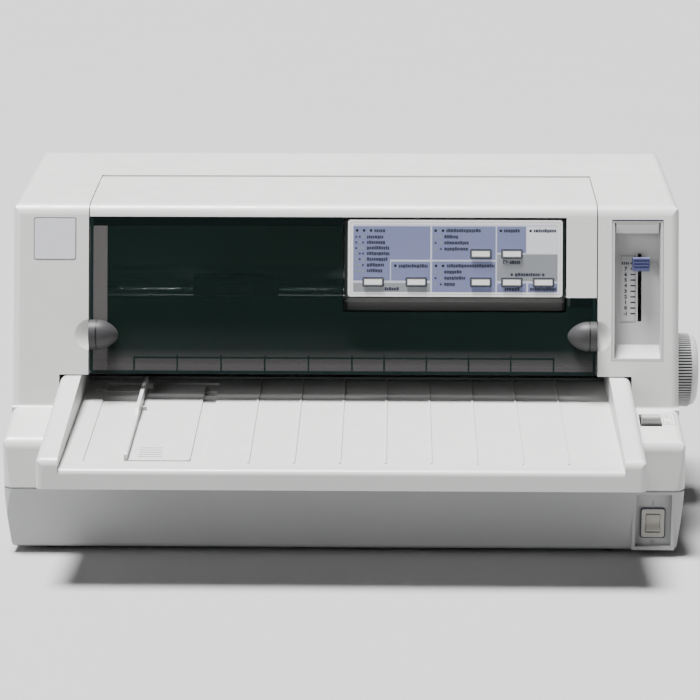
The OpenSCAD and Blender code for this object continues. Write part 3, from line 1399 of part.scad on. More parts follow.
module main_board() {
  z0 = foot_h + 6;
  color([0.13, 0.36, 0.22])
  union() {
    difference() {
      block([-160, 26, z0], [30, rear_y - 12, z0 + 1.6]);
      for (p = BOARD_POSTS) translate([p.x, p.y, z0 - 1]) cylinder(r = 1.7, h = 4);
    }
    for (c = [[-120, 50, 28, 28, 3], [-70, 56, 22, 22, 3], [-20, 48, 12, 30, 3], [-130, 96, 30, 12, 4],
        [-70, 96, 30, 12, 4],
      [-10, 100, 14, 8, 6], [-110, 128, 40, 5, 9]])
      translate([c.x, c.y, z0 + 1.6 - tiny]) cube([c[2], c[3], c[4]]);
    for (x = [6, 18], y = [60, 76, 92]) translate([x, y, z0 + 1.6 - tiny]) cylinder(r = 4, h = 12);
    // base of the port
    block([port_x - 26, rear_y - 30, z0 + 1.5], [port_x + 26, rear_y - 13, foot_h + 12.3]);
  }
}

module power_supply() {
  y0 = frame_back + 6;
  y1 = rear_y - 8;
  color([0.7, 0.71, 0.72])
  difference() {
    union() {
      block([40, y0, foot_h + wall], [132, y1, foot_h + 50]);
      block([36, y0 + (y1 - y0) / 7, foot_h + wall], [136, y0 + (y1 - y0) * 3 / 7, foot_h + wall + 2]);
    }
    for (i = [0:8], z = [22, 36]) block([46 + i * 9, y0 - 1, z], [50 + i * 9, y1 + 2, z + 8]);
    block([42, y0 + 2, foot_h + wall + 2], [130, y1 - 2, foot_h + 48]);
  }
}

module power_inlet() {
  d = (rear_y - frame_back) * 3 / 7;
  color([0.12, 0.12, 0.13])
  translate([inlet_x, rear_y, foot_h + 18]) {
    difference() {
      union() {
        along_y(0, 2) plate([-17, -12], [17, 12], 2);
        block([-13.5, -d, -9.7], [13.5, 0.1, 9.7]);
      }
      along_y(-d * 14 / 24, 3) outline([[-12, -8], [-12, 4], [-8, 8], [8, 8], [12, 4], [12, -8]],
          [1, 1, 1, 1, 1, 1]);
      for (x = [-15, 15]) translate([x, 3, 0]) rotate([90, 0, 0]) cylinder(r = 1.2, h = 5);
    }
    for (p = [[-7, -3], [0, 2.5], [7, -3]])
      block([p.x - 1, -d * 2 / 3, p.y - 2.5], [p.x + 1, -2, p.y + 2.5]);
  }
}

module parallel_port() {
  color([0.72, 0.73, 0.74])
  translate([port_x, rear_y, foot_h + 18.5])
    difference() {
      union() {
        along_y(0, 1.5) plate([-34, -7.5], [34, 7.5], 1.5);
        along_y(-29, 7) outline([[-25, -5], [-27, 5], [27, 5], [25, -5]], [2, 2, 2, 2]);
        block([-26, -29, -6.2], [26, -14, -4.9]);
      }
      difference() {
        along_y(-1, 8) outline([[-24, -4], [-26, 4], [26, 4], [24, -4]], [1.5, 1.5, 1.5, 1.5]);
        block([-22, -2, -1.4], [22, 6, 1.4]);
      }
      for (x = [-31, 31]) translate([x, 3, 0]) rotate([90, 0, 0]) cylinder(r = 1.6, h = 5);
    }
}

module option_cover() {
  color([0.6, 0.6, 0.59])
  translate([option_x, rear_y, foot_h + 19]) {
    along_y(0, 1.5) plate([-42, -13], [42, 13], 2);
    difference() {
      block([-40 + fit, -5, -11 + fit], [40 - fit, 0.1, 11 - fit]);
      block([-38, -6, -9], [38, -0.5, 9]);
    }
    for (x = [-39, 36]) translate([x, 0, 0]) block([0, 1.4, -6], [3, 2.4, 6]);
  }
}

placed() lower_case();
placed() rubber_feet();
placed() upper_case();
placed() lever_pocket();
placed() front_tray();
placed() front_guard();
placed() panel_housing();
placed() panel_bezel();
placed() panel_overlay();
placed() panel_board();
placed() panel_leds();
placed() switch_bezel();
placed() side_frames();
placed() bottom_frame();
placed() tie_bar();
placed() paper_bed();
placed() platen();
placed() shaft_bushes();
placed() carriage_motor();
placed() feed_motor();
placed() carriage_belt();
placed() main_board();
placed() power_supply();
placed() power_inlet();
placed() parallel_port();
placed() option_cover();
placed() hinge_pins();
placed() case_screws();
placed() cover_frame();
placed() cover_window();
placed() button_font();
placed() button_condensed();
placed() button_source();
placed() button_tear_off();
placed() button_pause();
placed() button_line_feed();
placed() button_load();
placed() gap_lever();
placed() gap_lever_knob();
placed() carriage_shaft();
placed() release_lever();
placed() switch_rocker();
placed() platen_knob();
placed() rear_roller_shaft();
placed() rear_roller_sleeves();
placed() rear_roller_gear();
placed() front_roller_shaft();
placed() front_roller_sleeves();
placed() front_roller_gear();
placed() feed_idler_gear();
placed() feed_pinion();
placed() front_pinch_rollers();
placed() rear_pinch_rollers();
placed() carriage();
placed() print_head();
placed() ribbon_cartridge();
placed() motor_pulley();
placed() idler_pulley();
placed() edge_guide();
placed() rear_cover();
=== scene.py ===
import bpy, json, math, random
from mathutils import Matrix

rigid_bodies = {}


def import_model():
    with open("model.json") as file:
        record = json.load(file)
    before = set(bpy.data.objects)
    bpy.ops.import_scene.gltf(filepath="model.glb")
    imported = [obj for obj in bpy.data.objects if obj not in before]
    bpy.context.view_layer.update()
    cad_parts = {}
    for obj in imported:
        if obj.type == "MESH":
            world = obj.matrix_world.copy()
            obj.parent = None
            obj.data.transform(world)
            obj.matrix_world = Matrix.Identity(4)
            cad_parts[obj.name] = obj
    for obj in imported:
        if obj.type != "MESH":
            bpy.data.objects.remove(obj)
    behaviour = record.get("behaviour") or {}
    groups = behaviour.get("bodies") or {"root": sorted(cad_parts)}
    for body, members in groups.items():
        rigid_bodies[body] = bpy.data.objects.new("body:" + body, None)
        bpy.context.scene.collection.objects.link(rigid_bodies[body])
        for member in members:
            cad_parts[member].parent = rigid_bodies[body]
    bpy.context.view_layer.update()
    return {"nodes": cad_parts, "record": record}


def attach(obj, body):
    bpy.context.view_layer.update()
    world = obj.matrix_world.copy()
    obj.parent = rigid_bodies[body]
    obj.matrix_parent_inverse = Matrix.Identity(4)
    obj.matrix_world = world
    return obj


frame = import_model()
nodes = frame["nodes"]
random.seed(7)                               # the same strokes of small print each run
print("frame loaded:", len(nodes), "nodes")


def quiet():
    bpy.ops.object.select_all(action="DESELECT")


# camera: place in metres, angles in degrees, focal length and frame in pixels, sensor in mm
camera = {"spot": (0.0248, -1.73726, 0.49498), "pitch": 78.0, "turn": 1.1409,
          "focal": 2400, "wide": 700, "sensor": 36, "near": 0.05}

quiet()
aim = (math.radians(camera["pitch"]), 0, math.radians(camera["turn"]))
bpy.ops.object.camera_add(location=camera["spot"], rotation=aim)
cam = bpy.context.object
cam.data.lens = camera["focal"] * camera["sensor"] / camera["wide"]
cam.data.sensor_width = camera["sensor"]
cam.data.clip_start = camera["near"]
bpy.context.scene.camera = cam

# one wide lamp overhead, one weak lamp from the front left, a faint sky; angles in degrees
studio = {"sky": (1.0, 1.0, 1.0), "skyPower": 0.10, "backdrop": 1.3, "lampSpot": (0, -0.6, 2.2),
          "sunPower": 14.5, "sunSpread": 18, "sunTilt": 0, "sunSide": -10,
          "fillPower": 1.0, "fillSpread": 24, "fillTilt": 70, "fillTurn": -48}


# a wide soft lamp far away: tilted to the front, rolled to the side, turned about the upright
def softSun(name, power, spread, tilt, side, turn):
    quiet()
    turned = (math.radians(tilt), math.radians(side), math.radians(turn))
    bpy.ops.object.light_add(type="SUN", location=studio["lampSpot"], rotation=turned)
    lamp = bpy.context.object
    lamp.name = name
    lamp.data.energy = power
    lamp.data.angle = math.radians(spread)


softSun("softOverhead", studio["sunPower"], studio["sunSpread"], studio["sunTilt"],
        studio["sunSide"], 0)
softSun("softFront", studio["fillPower"], studio["fillSpread"], studio["fillTilt"], 0,
        studio["fillTurn"])

world = bpy.data.worlds.new("studioSky")
bpy.context.scene.world = world
world.use_nodes = True
skyTree = world.node_tree
sky = skyTree.nodes["Background"]
sky.inputs[0].default_value = (*studio["sky"], 1)
sky.inputs[1].default_value = studio["skyPower"]
# low views see a pale backdrop above the floor, while the sky's own light stays faint
rayKind = skyTree.nodes.new("ShaderNodeLightPath")
backdrop = skyTree.nodes.new("ShaderNodeBackground")
backdrop.inputs[0].default_value = (*studio["sky"], 1)
backdrop.inputs[1].default_value = studio["backdrop"]
skyMix = skyTree.nodes.new("ShaderNodeMixShader")
skyTree.links.new(rayKind.outputs["Is Camera Ray"], skyMix.inputs[0])
skyTree.links.new(sky.outputs[0], skyMix.inputs[1])
skyTree.links.new(backdrop.outputs[0], skyMix.inputs[2])
skyTree.links.new(skyMix.outputs[0], skyTree.nodes["World Output"].inputs["Surface"])
print("camera, lamps and sky set")


# the leaning face, in metres and degrees: the case's shift to the left, the foot of the face
lay = {"shift": -0.0125, "lean": 12.0, "footY": -0.0576, "footZ": 0.0955}


def newFinish(name, colour, rough, metal=0.0):
    mat = bpy.data.materials.new(name)
    mat.use_nodes = True
    shader = mat.node_tree.nodes["Principled BSDF"]
    shader.inputs["Base Color"].default_value = (*colour, 1)
    shader.inputs["Roughness"].default_value = rough
    shader.inputs["Metallic"].default_value = metal
    return mat, mat.node_tree, shader


def objectSpace(tree, scale=(1, 1, 1)):
    coords = tree.nodes.new("ShaderNodeTexCoord")
    mapping = tree.nodes.new("ShaderNodeMapping")
    mapping.inputs["Scale"].default_value = scale
    tree.links.new(coords.outputs["Object"], mapping.inputs["Vector"])
    return mapping.outputs["Vector"]


def axesOf(tree, vector):
    parts = tree.nodes.new("ShaderNodeSeparateXYZ")
    tree.links.new(vector, parts.inputs[0])
    return parts.outputs


def noise(tree, vector, scale, detail=3.0, rough=0.5):
    tex = tree.nodes.new("ShaderNodeTexNoise")
    tex.inputs["Scale"].default_value = scale
    tex.inputs["Detail"].default_value = detail
    tex.inputs["Roughness"].default_value = rough
    tree.links.new(vector, tex.inputs["Vector"])
    return tex.outputs["Fac"]


def ramp(tree, value, low, high, start=0.3, end=0.7):
    node = tree.nodes.new("ShaderNodeValToRGB")
    tree.links.new(value, node.inputs["Fac"])
    first, last = node.color_ramp.elements
    first.position, last.position = start, end
    first.color, last.color = (*low, 1), (*high, 1)
    return node.outputs["Color"]


def bump(tree, shader, height, strength, distance, before=None):
    node = tree.nodes.new("ShaderNodeBump")
    node.inputs["Strength"].default_value = strength
    node.inputs["Distance"].default_value = distance
    tree.links.new(height, node.inputs["Height"])
    if before is not None:
        tree.links.new(before, node.inputs["Normal"])
    tree.links.new(node.outputs["Normal"], shader.inputs["Normal"])
    return node.outputs["Normal"]


def shade(colour, k):
    return tuple(min(1, max(0, c * k)) for c in colour)


def grey(level):
    return (level,) * 3


# a value that goes from 0 to 1 as the input goes from start to end
def between(tree, value, start, end):
    node = tree.nodes.new("ShaderNodeMapRange")
    node.inputs["From Min"].default_value = start
    node.inputs["From Max"].default_value = end
    tree.links.new(value, node.inputs["Value"])
    return node.outputs["Result"]


def reckon(tree, kind, a, b=0):
    node = tree.nodes.new("ShaderNodeMath")
    node.operation = kind
    for socket, value in zip(node.inputs, (a, b)):
        if isinstance(value, (int, float)):
            socket.default_value = value
        else:
            tree.links.new(value, socket)
    return node.outputs[0]


def times(tree, a, b):
    return reckon(tree, "MULTIPLY", a, b)


def larger(tree, a, b):
    return reckon(tree, "MAXIMUM", a, b)


def blendColour(tree, mask, under, over):
    node = tree.nodes.new("ShaderNodeMix")
    node.data_type = "RGBA"
    tree.links.new(mask, node.inputs["Factor"])
    for socket, value in zip((node.inputs["A"], node.inputs["B"]), (under, over)):
        if isinstance(value, tuple):
            socket.default_value = (*value, 1)
        else:
            tree.links.new(value, socket)
    return node.outputs["Result"]


# scales are in turns a metre, depths in metres
mould = {"cloud": 9, "mottle": 0.02, "gloss": 60, "glossDown": 0.05,
         "glossUp": 0.06, "grain": 1900, "depth": 0.00006, "press": 0.35, "swell": 0.1,
         "swellDepth": 0.0006}


# the fine spark grain of a moulded surface
def sparkGrain(tree, shader, vec, grain, depth):
    return bump(tree, shader, noise(tree, vec, grain, 2, 0.6), mould["press"], depth)


# moulded plastic: fine grain, faint clouding of colour and gloss
def mouldedPlastic(name, colour, rough=0.45, grain=mould["grain"], depth=mould["depth"],
                   mottle=mould["mottle"]):
    mat, tree, shader = newFinish(name, colour, rough)
    vec = objectSpace(tree)
    cloud = noise(tree, vec, mould["cloud"], 4)
    tree.links.new(ramp(tree, cloud, shade(colour, 1 - mottle), shade(colour, 1 + mottle)),
                   shader.inputs["Base Color"])
    tree.links.new(ramp(tree, noise(tree, vec, mould["gloss"], 2),
                        grey(rough - mould["glossDown"]), grey(rough + mould["glossUp"])),
                   shader.inputs["Roughness"])
    grainUp = sparkGrain(tree, shader, vec, grain, depth)
    bump(tree, shader, cloud, mould["swell"], mould["swellDepth"], grainUp)
    return mat


metalLook = {"stretch": 0.02, "darker": 0.86, "lighter": 1.1, "cloud": 25,
             "glossDown": 0.08, "glossUp": 0.14, "press": 0.2, "depth": 0.00004}


# ground or rolled metal: fine lines along one axis, with a few scuffs
def brushedMetal(name, colour, rough=0.32, along="x", lines=900, metal=1.0):
    mat, tree, shader = newFinish(name, colour, rough, metal)
    scale = tuple(metalLook["stretch"] if axis == along else 1 for axis in "xyz")
    streak = noise(tree, objectSpace(tree, scale), lines, 3, 0.6)
    tree.links.new(ramp(tree, streak, shade(colour, metalLook["darker"]),
                        shade(colour, metalLook["lighter"])), shader.inputs["Base Color"])
    cloud = noise(tree, objectSpace(tree), metalLook["cloud"], 4)
    tree.links.new(ramp(tree, cloud, grey(rough - metalLook["glossDown"]),
                        grey(rough + metalLook["glossUp"])), shader.inputs["Roughness"])
    bump(tree, shader, streak, metalLook["press"], metalLook["depth"])
    return mat


# colours, gloss and clearness; places in metres, where each part of the window begins or ends;
# and the scales of its haze, its smoke and its faint waves
windowLook = {"deep": (0.0055, 0.0125, 0.0105), "mask": (0.003, 0.006, 0.0055),
              "paintedFootLight": (0.056, 0.053, 0.054), "grip": (0.043, 0.042, 0.044),
              "strip": (0.087, 0.081, 0.082), "rough": 0.10, "gripRough": 0.34, "gloss": 0.25,
              "ior": 1.49, "alpha": 0.62, "footAlpha": 0.88, "gripAlpha": 0.90,
              "stripAlpha": 0.8, "footTop": 0.137, "footHigh": 0.012, "stripEnd": -0.1842,
              "stripFade": 0.0006, "bandTop": 0.2228, "bandSide": 0.1662, "sideFrom": 0.1490,
              "fade": 0.0004, "middle": -0.01425, "ringAt": 0.17725, "ringOut": 0.0006,
              "ringIn": 0.0004, "proudFrom": 0.0002, "proudTo": 0.0005, "haze": 40,
              "hazeDown": 0.02, "hazeUp": 0.06, "smoke": 6, "smokeDown": 0.85,
              "smokeUp": 1.15, "wave": 22, "wavePress": 0.08, "waveDepth": 0.0004}


# smoked clear plastic: see-through, with painted light as a pale grey band towards its foot
# and as a pale strip at its left end, dark masked bands, and lighter finger grips with a dark ring
# round each
def smokedPlastic(name, look):
    mat, tree, shader = newFinish(name, look["deep"], look["rough"])
    shader.inputs["IOR"].default_value = look["ior"]
    shader.inputs["Specular IOR Level"].default_value = look["gloss"]
    vec = objectSpace(tree)
    x, y, z = axesOf(tree, vec)
    lean = math.radians(lay["lean"])
    out = reckon(tree, "ADD", times(tree, y, -math.cos(lean)), times(tree, z, math.sin(lean)))
    flush = -math.cos(lean) * lay["footY"] + math.sin(lean) * lay["footZ"]
    grip = between(tree, out, flush + look["proudFrom"], flush + look["proudTo"])
    haze = ramp(tree, noise(tree, vec, look["haze"], 5), grey(look["rough"] - look["hazeDown"]),
                grey(look["rough"] + look["hazeUp"]))
    tree.links.new(reckon(tree, "ADD", haze, times(tree, grip, look["gripRough"])),
                   shader.inputs["Roughness"])
    offMiddle = reckon(tree, "ABSOLUTE", reckon(tree, "SUBTRACT", x, look["middle"]))
    offRing = reckon(tree, "ABSOLUTE", reckon(tree, "SUBTRACT", offMiddle, look["ringAt"]))
    ring = times(tree, between(tree, offRing, look["ringOut"], look["ringIn"]), grip)
    # painted light: below footTop the glass turns pale grey and less clear, standing in for the
    # lit plate behind its foot
    foot = between(tree, z, look["footTop"], look["footTop"] - look["footHigh"])
    smoke = ramp(tree, noise(tree, vec, look["smoke"], 3),
                 shade(look["deep"], look["smokeDown"]), shade(look["deep"], look["smokeUp"]))
    glass = blendColour(tree, foot, smoke, look["paintedFootLight"])
    # painted light: the pale strip at the left end stands in for the lit inner wall behind the
    # glass
    strip = between(tree, x, look["stripEnd"] + look["stripFade"], look["stripEnd"])
    glass = blendColour(tree, strip, glass, look["strip"])
    # a dark masked band under the top edge and beside the panel
    fade = look["fade"]
    band = larger(tree, between(tree, z, look["bandTop"], look["bandTop"] + fade),
                  times(tree, between(tree, z, look["bandSide"], look["bandSide"] + fade),
                        between(tree, x, look["sideFrom"], look["sideFrom"] + fade)))
    glass = blendColour(tree, band, glass, look["mask"])
    glass = blendColour(tree, grip, glass, look["grip"])
    tree.links.new(blendColour(tree, ring, glass, look["mask"]), shader.inputs["Base Color"])
    masked = larger(tree, band, times(tree, strip, look["stripAlpha"]))
    masked = larger(tree, masked, times(tree, grip, look["gripAlpha"]))
    paintedFootAlpha = times(tree, foot, look["footAlpha"] - look["alpha"])
    tree.links.new(larger(tree, masked, reckon(tree, "ADD", look["alpha"], paintedFootAlpha)),
                   shader.inputs["Alpha"])
    bump(tree, shader, noise(tree, vec, look["wave"], 2), look["wavePress"], look["waveDepth"])
    return mat


boardLook = {"rough": 0.4, "cells": 210, "from": 0.16, "to": 0.22, "press": 0.25, "depth": 0.00008}


# circuit board: solder mask with lighter tracks and a fine weave
def boardFinish(name, colour, track):
    mat, tree, shader = newFinish(name, colour, boardLook["rough"])
    vec = objectSpace(tree)
    cells = tree.nodes.new("ShaderNodeTexVoronoi")
    cells.distance = "MANHATTAN"
    cells.inputs["Scale"].default_value = boardLook["cells"]
    tree.links.new(vec, cells.inputs["Vector"])
    tree.links.new(ramp(tree, cells.outputs["Distance"], track, colour, boardLook["from"],
                        boardLook["to"]), shader.inputs["Base Color"])
    bump(tree, shader, cells.outputs["Distance"], boardLook["press"], boardLook["depth"])
    return mat


# moulded plastic with a second colour where a mask says so
def twoColourPlastic(tree, shader, vec, mask, colour, other):
    plain = ramp(tree, noise(tree, vec, mould["cloud"], 4),
                 shade(colour, 1 - mould["mottle"]), shade(colour, 1 + mould["mottle"]))
    tree.links.new(blendColour(tree, mask, plain, other), shader.inputs["Base Color"])
    sparkGrain(tree, shader, vec, mould["grain"], mould["depth"])


housingLook = {"colour": (0.095, 0.095, 0.093), "side": (0.010, 0.016, 0.015), "rough": 0.38,
               "x0": -0.0107, "x1": 0.1438, "fade": 0.0004}


# the panel's housing: dark grey lip, with painted shade making its two sides and ends near black
def housingFinish(name, look):
    mat, tree, shader = newFinish(name, look["colour"], look["rough"])
    vec = objectSpace(tree)
    x = axesOf(tree, vec)[0]
    # painted shade: near black beyond x0 and x1, where the housing's ends sit in the gap
    side = larger(tree, between(tree, x, look["x0"], look["x0"] - look["fade"]),
                  between(tree, x, look["x1"], look["x1"] + look["fade"]))
    twoColourPlastic(tree, shader, vec, side, look["colour"], look["side"])
    return mat


# the knob's axis, the two radii between which painted shade darkens its flutes, and their two ends
flutes = {"axisY": 0.058, "axisZ": 0.099, "bottom": 0.02735, "inner": 0.0262, "x0": 0.2312,
          "x1": 0.2470, "fade": 0.0003, "innerFade": 0.0002, "rough": 0.42,
          "colour": (0.60, 0.60, 0.597), "dark": (0.075, 0.075, 0.075)}


# the platen knob: painted shade in the bottoms of its flutes
def flutedFinish(name, look):
    mat, tree, shader = newFinish(name, look["colour"], look["rough"])
    vec = objectSpace(tree)
    offset = tree.nodes.new("ShaderNodeVectorMath")
    offset.operation = "SUBTRACT"
    offset.inputs[1].default_value = (0, look["axisY"], look["axisZ"])
    tree.links.new(vec, offset.inputs[0])
    x, y, z = axesOf(tree, offset.outputs[0])
    radius = reckon(tree, "SQRT", reckon(tree, "ADD", times(tree, y, y), times(tree, z, z)))
    # painted shade: dark between the two radii, in the flute bottoms
    deep = times(tree, between(tree, radius, look["bottom"] + look["fade"], look["bottom"]),
                 between(tree, radius, look["inner"], look["inner"] + look["innerFade"]))
    deep = times(tree, deep, between(tree, x, look["x0"] - look["fade"], look["x0"]))
    deep = times(tree, deep, between(tree, x, look["x1"] + look["fade"], look["x1"]))
    twoColourPlastic(tree, shader, vec, deep, look["colour"], look["dark"])
    return mat


# the record's slots: name, colour and roughness, then grain, depth and mottle where they differ
finish = {
    "upper_shell": mouldedPlastic("caseWarmWhite", (0.54, 0.54, 0.53), 0.34),
    "base_shell": mouldedPlastic("baseGrey", (0.365, 0.367, 0.371), 0.46),
    "tray_shell": mouldedPlastic("trayWhite", (0.51, 0.51, 0.503), 0.34),
    "smoked_window": smokedPlastic("smokedWindow", windowLook),
    "panel_dark": housingFinish("panelHousingDark", housingLook),
    "panel_light": mouldedPlastic("panelBezelWhite", (0.60, 0.60, 0.595), 0.36),
    "panel_print": mouldedPlastic("panelPaleFoil", (0.40, 0.415, 0.485), 0.34, 2600, 0.00002,
                                  0.01),
    "key_caps": mouldedPlastic("keyWhite", (0.62, 0.62, 0.61), 0.32, 2400, 0.00003),
    "lamp": mouldedPlastic("lampLensDark", (0.018, 0.026, 0.02), 0.16, 900, 0.00001),
    "knob_blue": mouldedPlastic("knobBlueViolet", (0.052, 0.058, 0.145), 0.34),
    "switch_grey": mouldedPlastic("switchFrameGrey", (0.37, 0.36, 0.328), 0.40),
    "rocker_beige": mouldedPlastic("rockerBeige", (0.35, 0.332, 0.298), 0.30),
    "knob_grey": mouldedPlastic("knobLightGrey", (0.43, 0.43, 0.428), 0.42),
    "sheet_steel": brushedMetal("zincSheet", (0.52, 0.54, 0.56), 0.38),
    "shaft_steel": brushedMetal("groundShaft", (0.62, 0.63, 0.65), 0.18),
    "lever_steel": brushedMetal("leverSteel", (0.30, 0.31, 0.33), 0.36, "z"),
    "bearing_bronze": brushedMetal("sinteredBronze", (0.50, 0.33, 0.15), 0.42, "x", 1500),
    "black_rubber": mouldedPlastic("blackRubber", (0.018, 0.018, 0.018), 0.78, 1400, 0.00012,
                                   0.1),
    "black_plastic": mouldedPlastic("blackPlastic", (0.022, 0.022, 0.024), 0.42),
    "bed_plastic": mouldedPlastic("bedDarkPlastic", (0.045, 0.056, 0.054), 0.34),
    "gear_plastic": mouldedPlastic("gearNaturalPlastic", (0.66, 0.63, 0.52), 0.34),
    "motor_can": brushedMetal("motorCan", (0.05, 0.052, 0.055), 0.34, "z", 500, 0.6),
    "head_alloy": brushedMetal("castHeadAlloy", (0.24, 0.25, 0.27), 0.46, "y", 300),
    "board_green": boardFinish("circuitBoard", (0.010, 0.075, 0.030), (0.05, 0.20, 0.08)),
}
knobFinish = flutedFinish("platenKnobFluted", flutes)

for part in frame["record"]["subparts"]:
    node = nodes[part["node"]]
    node.data.materials.clear()
    node.data.materials.append(finish[part["material_slot"]])
nodes["platen_knob"].data.materials[0] = knobFinish
nodes["release_lever"].data.materials[0] = mouldedPlastic("releaseLeverGrey",
                                                          (0.30, 0.30, 0.295), 0.36)
print("finishes set:", len(finish))


# prints and trims are laid out in millimetres, each on one of three frames

# on the leaning face: x across, v up the face, w out of it
def leaning(x=0.0, v=0.0, w=0.0):
    s, c = math.sin(math.radians(lay["lean"])), math.cos(math.radians(lay["lean"]))
    return Matrix(((1, 0, 0, lay["shift"] + x / 1000),
                   (0, s, -c, lay["footY"] + (v * s - w * c) / 1000),
                   (0, c, s, lay["footZ"] + (v * c + w * s) / 1000),
                   (0, 0, 0, 1)))


# on a level or tilted top: x across, then back along the slope, then out of it
def lying(x=0.0, y=0.0, z=0.0, slope=0.0):
    return (Matrix.Translation((lay["shift"] + x / 1000, y / 1000, z / 1000))
            @ Matrix.Rotation(math.radians(slope), 4, "X"))


# on an upright front: x across, z up, and forwards out of it
def upright(x=0.0, y=0.0, z=0.0):
    return Matrix(((1, 0, 0, lay["shift"] + x / 1000), (0, 0, -1, y / 1000),
                   (0, 1, 0, z / 1000), (0, 0, 0, 1)))


# bakes a piece's place into its mesh and gives it its name, finish and body
def settle(piece, place, name, mat, body):
    quiet()
    bpy.context.view_layer.objects.active = piece
    piece.select_set(True)
    piece.matrix_world = place @ piece.matrix_world
    bpy.ops.object.transform_apply(location=True, rotation=True, scale=True)
    piece.name = piece.data.name = name
    piece.data.materials.clear()
    piece.data.materials.append(mat)
    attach(piece, body)


# raises every face of the open mesh in edit mode into a closed thin solid
def raiseAll(thick):
    bpy.ops.mesh.select_all(action="SELECT")
    bpy.ops.mesh.extrude_region_move(TRANSFORM_OT_translate={"value": (0, 0, thick / 1000)})
    bpy.ops.mesh.select_all(action="SELECT")
    bpy.ops.mesh.normals_make_consistent(inside=False)
    bpy.ops.object.mode_set(mode="OBJECT")


# thin raised print: rectangles (x0, y0, x1, y1); a fifth number is the width of a ring
def prints(name, rects, thick, mat, place, body="case", corner=0.0):
    quiet()
    bpy.ops.mesh.primitive_plane_add(size=1)
    piece = bpy.context.object
    bpy.ops.object.mode_set(mode="EDIT")
    for i, rect in enumerate(rects):
        x0, y0, x1, y1 = rect[:4]
        if i:
            bpy.ops.mesh.primitive_plane_add(size=1)
        bpy.ops.transform.resize(value=((x1 - x0) / 1000, (y1 - y0) / 1000, 1))
        bpy.ops.transform.translate(value=((x0 + x1) / 2000, (y0 + y1) / 2000, 0))
        if corner:
            bpy.ops.mesh.bevel(offset=corner / 1000, segments=3, affect="VERTICES")
            bpy.ops.mesh.select_linked()
        if len(rect) > 4:
            bpy.ops.mesh.inset(thickness=rect[4] / 1000, depth=0)
            bpy.ops.mesh.delete(type="FACE")
    raiseAll(thick)
    settle(piece, place, name, mat, body)


# round dots or turned squares, all alike, at the given spots
def dots(name, spots, across, thick, mat, place, sides=14, body="case"):
    quiet()
    look = {"vertices": sides, "radius": across / 2000, "fill_type": "NGON"}
    bpy.ops.mesh.primitive_circle_add(**look)
    piece = bpy.context.object
    bpy.ops.object.mode_set(mode="EDIT")
    for i, (x, y) in enumerate(spots):
        if i:
            bpy.ops.mesh.primitive_circle_add(**look)
        bpy.ops.transform.translate(value=(x / 1000, y / 1000, 0))
    raiseAll(thick)
    settle(piece, place, name, mat, body)


# plain figures or signs (sign, x, y), made meshes before they are placed
def figures(name, signs, size, thick, mat, place, body="case", bold=0.0):
    made = []
    for sign, x, y in signs:
        quiet()
        bpy.ops.object.text_add(location=(0, 0, 0))
        letter = bpy.context.object
        letter.data.body = sign
        letter.data.size = size / 1000
        letter.data.align_x, letter.data.align_y = "CENTER", "CENTER"
        letter.data.resolution_u = 3
        letter.data.offset = bold / 1000
        letter.data.extrude = thick / 2000
        bpy.ops.object.convert(target="MESH")
        letter = bpy.context.object
        bpy.ops.object.mode_set(mode="EDIT")
        bpy.ops.mesh.select_all(action="SELECT")
        bpy.ops.mesh.remove_doubles(threshold=1e-6)
        bpy.ops.transform.translate(value=(x / 1000, y / 1000, thick / 2000))
        bpy.ops.object.mode_set(mode="OBJECT")
        made.append(letter)
    quiet()
    for letter in made:
        letter.select_set(True)
    bpy.context.view_layer.objects.active = made[0]
    if len(made) > 1:
        bpy.ops.object.join()
    settle(made[0], place, name, mat, body)


# control panel: coloured fields of the foil, small print as bars, dots, and lines at the keys
foil = {"x": 2.0, "v": 80.0, "thick": 0.06, "ink": 0.05, "keyHole": (7.62, 3.32),
        "lampHole": 0.9, "blue": (0.130, 0.146, 0.252), "grey": (0.180, 0.188, 0.202),
        "pale": (0.51, 0.52, 0.54), "inkColour": (0.016, 0.019, 0.036),
        "green": (0.165, 0.215, 0.15), "line": (0.19, 0.195, 0.205), "darkDot": 1.5,
        "paleDot": 1.4, "diamond": 2.6, "step": (1.9, 1.7, 152.4, 53.6, 0.25),
        "stepThick": 0.04, "stepRound": 1.2}
# roughness, grain, grain depth and mottle of the foil, of its inks, of lines and of trims
skin = {"foil": (0.36, 2600, 0.00002, 0.015), "ink": (0.45, 2600, 0.00001, 0.08),
        "line": (0.40, 2600, 0.00001, 0.05), "edge": (0.42, 2600, 0.00001, 0.05),
        "badge": (0.34, 2600, 0.00003, 0.015), "comb": (0.3, 1500, 0.00002, 0.05),
        "shade": (0.5, 2600, 0.00001, 0.05), "lipShade": (0.5, 1500, 0.00002, 0.05),
        "ridge": (0.4, 1500, 0.00002, 0.05)}
blueFoil = mouldedPlastic("foilLilacBlue", foil["blue"], *skin["foil"])
greyFoil = mouldedPlastic("foilGrey", foil["grey"], *skin["foil"])
paleFoil = mouldedPlastic("foilPale", foil["pale"], *skin["foil"])
darkInk = mouldedPlastic("printInkBlue", foil["inkColour"], *skin["ink"])
greenInk = mouldedPlastic("printInkGreen", foil["green"], *skin["ink"])
lineInk = mouldedPlastic("printLineGrey", foil["line"], *skin["line"])

onFoil = leaning(foil["x"], foil["v"], 0.0)
onInk = leaning(foil["x"], foil["v"], foil["thick"])
buttonsAt = {"font_key": (18.1, 10.5), "condensed_key": (49.1, 10.5), "source_key": (95.4, 30.9),
             "tear_off_key": (95.4, 10.5), "pause_key": (117.7, 30.9),
             "line_feed_key": (117.7, 10.5), "load_key": (140.4, 10.5)}
lampsAt = ([(x, 47.5) for x in (6.5, 11.5, 16.5, 62.9, 68.2, 109.7, 131.1)]
           + [(x, 22.2) for x in (34, 63.3, 68.3)])


# a rectangle round a spot, reaching so far to each side and up and down
def around(spot, wide, high):
    return (spot[0] - wide, spot[1] - high, spot[0] + wide, spot[1] + high)


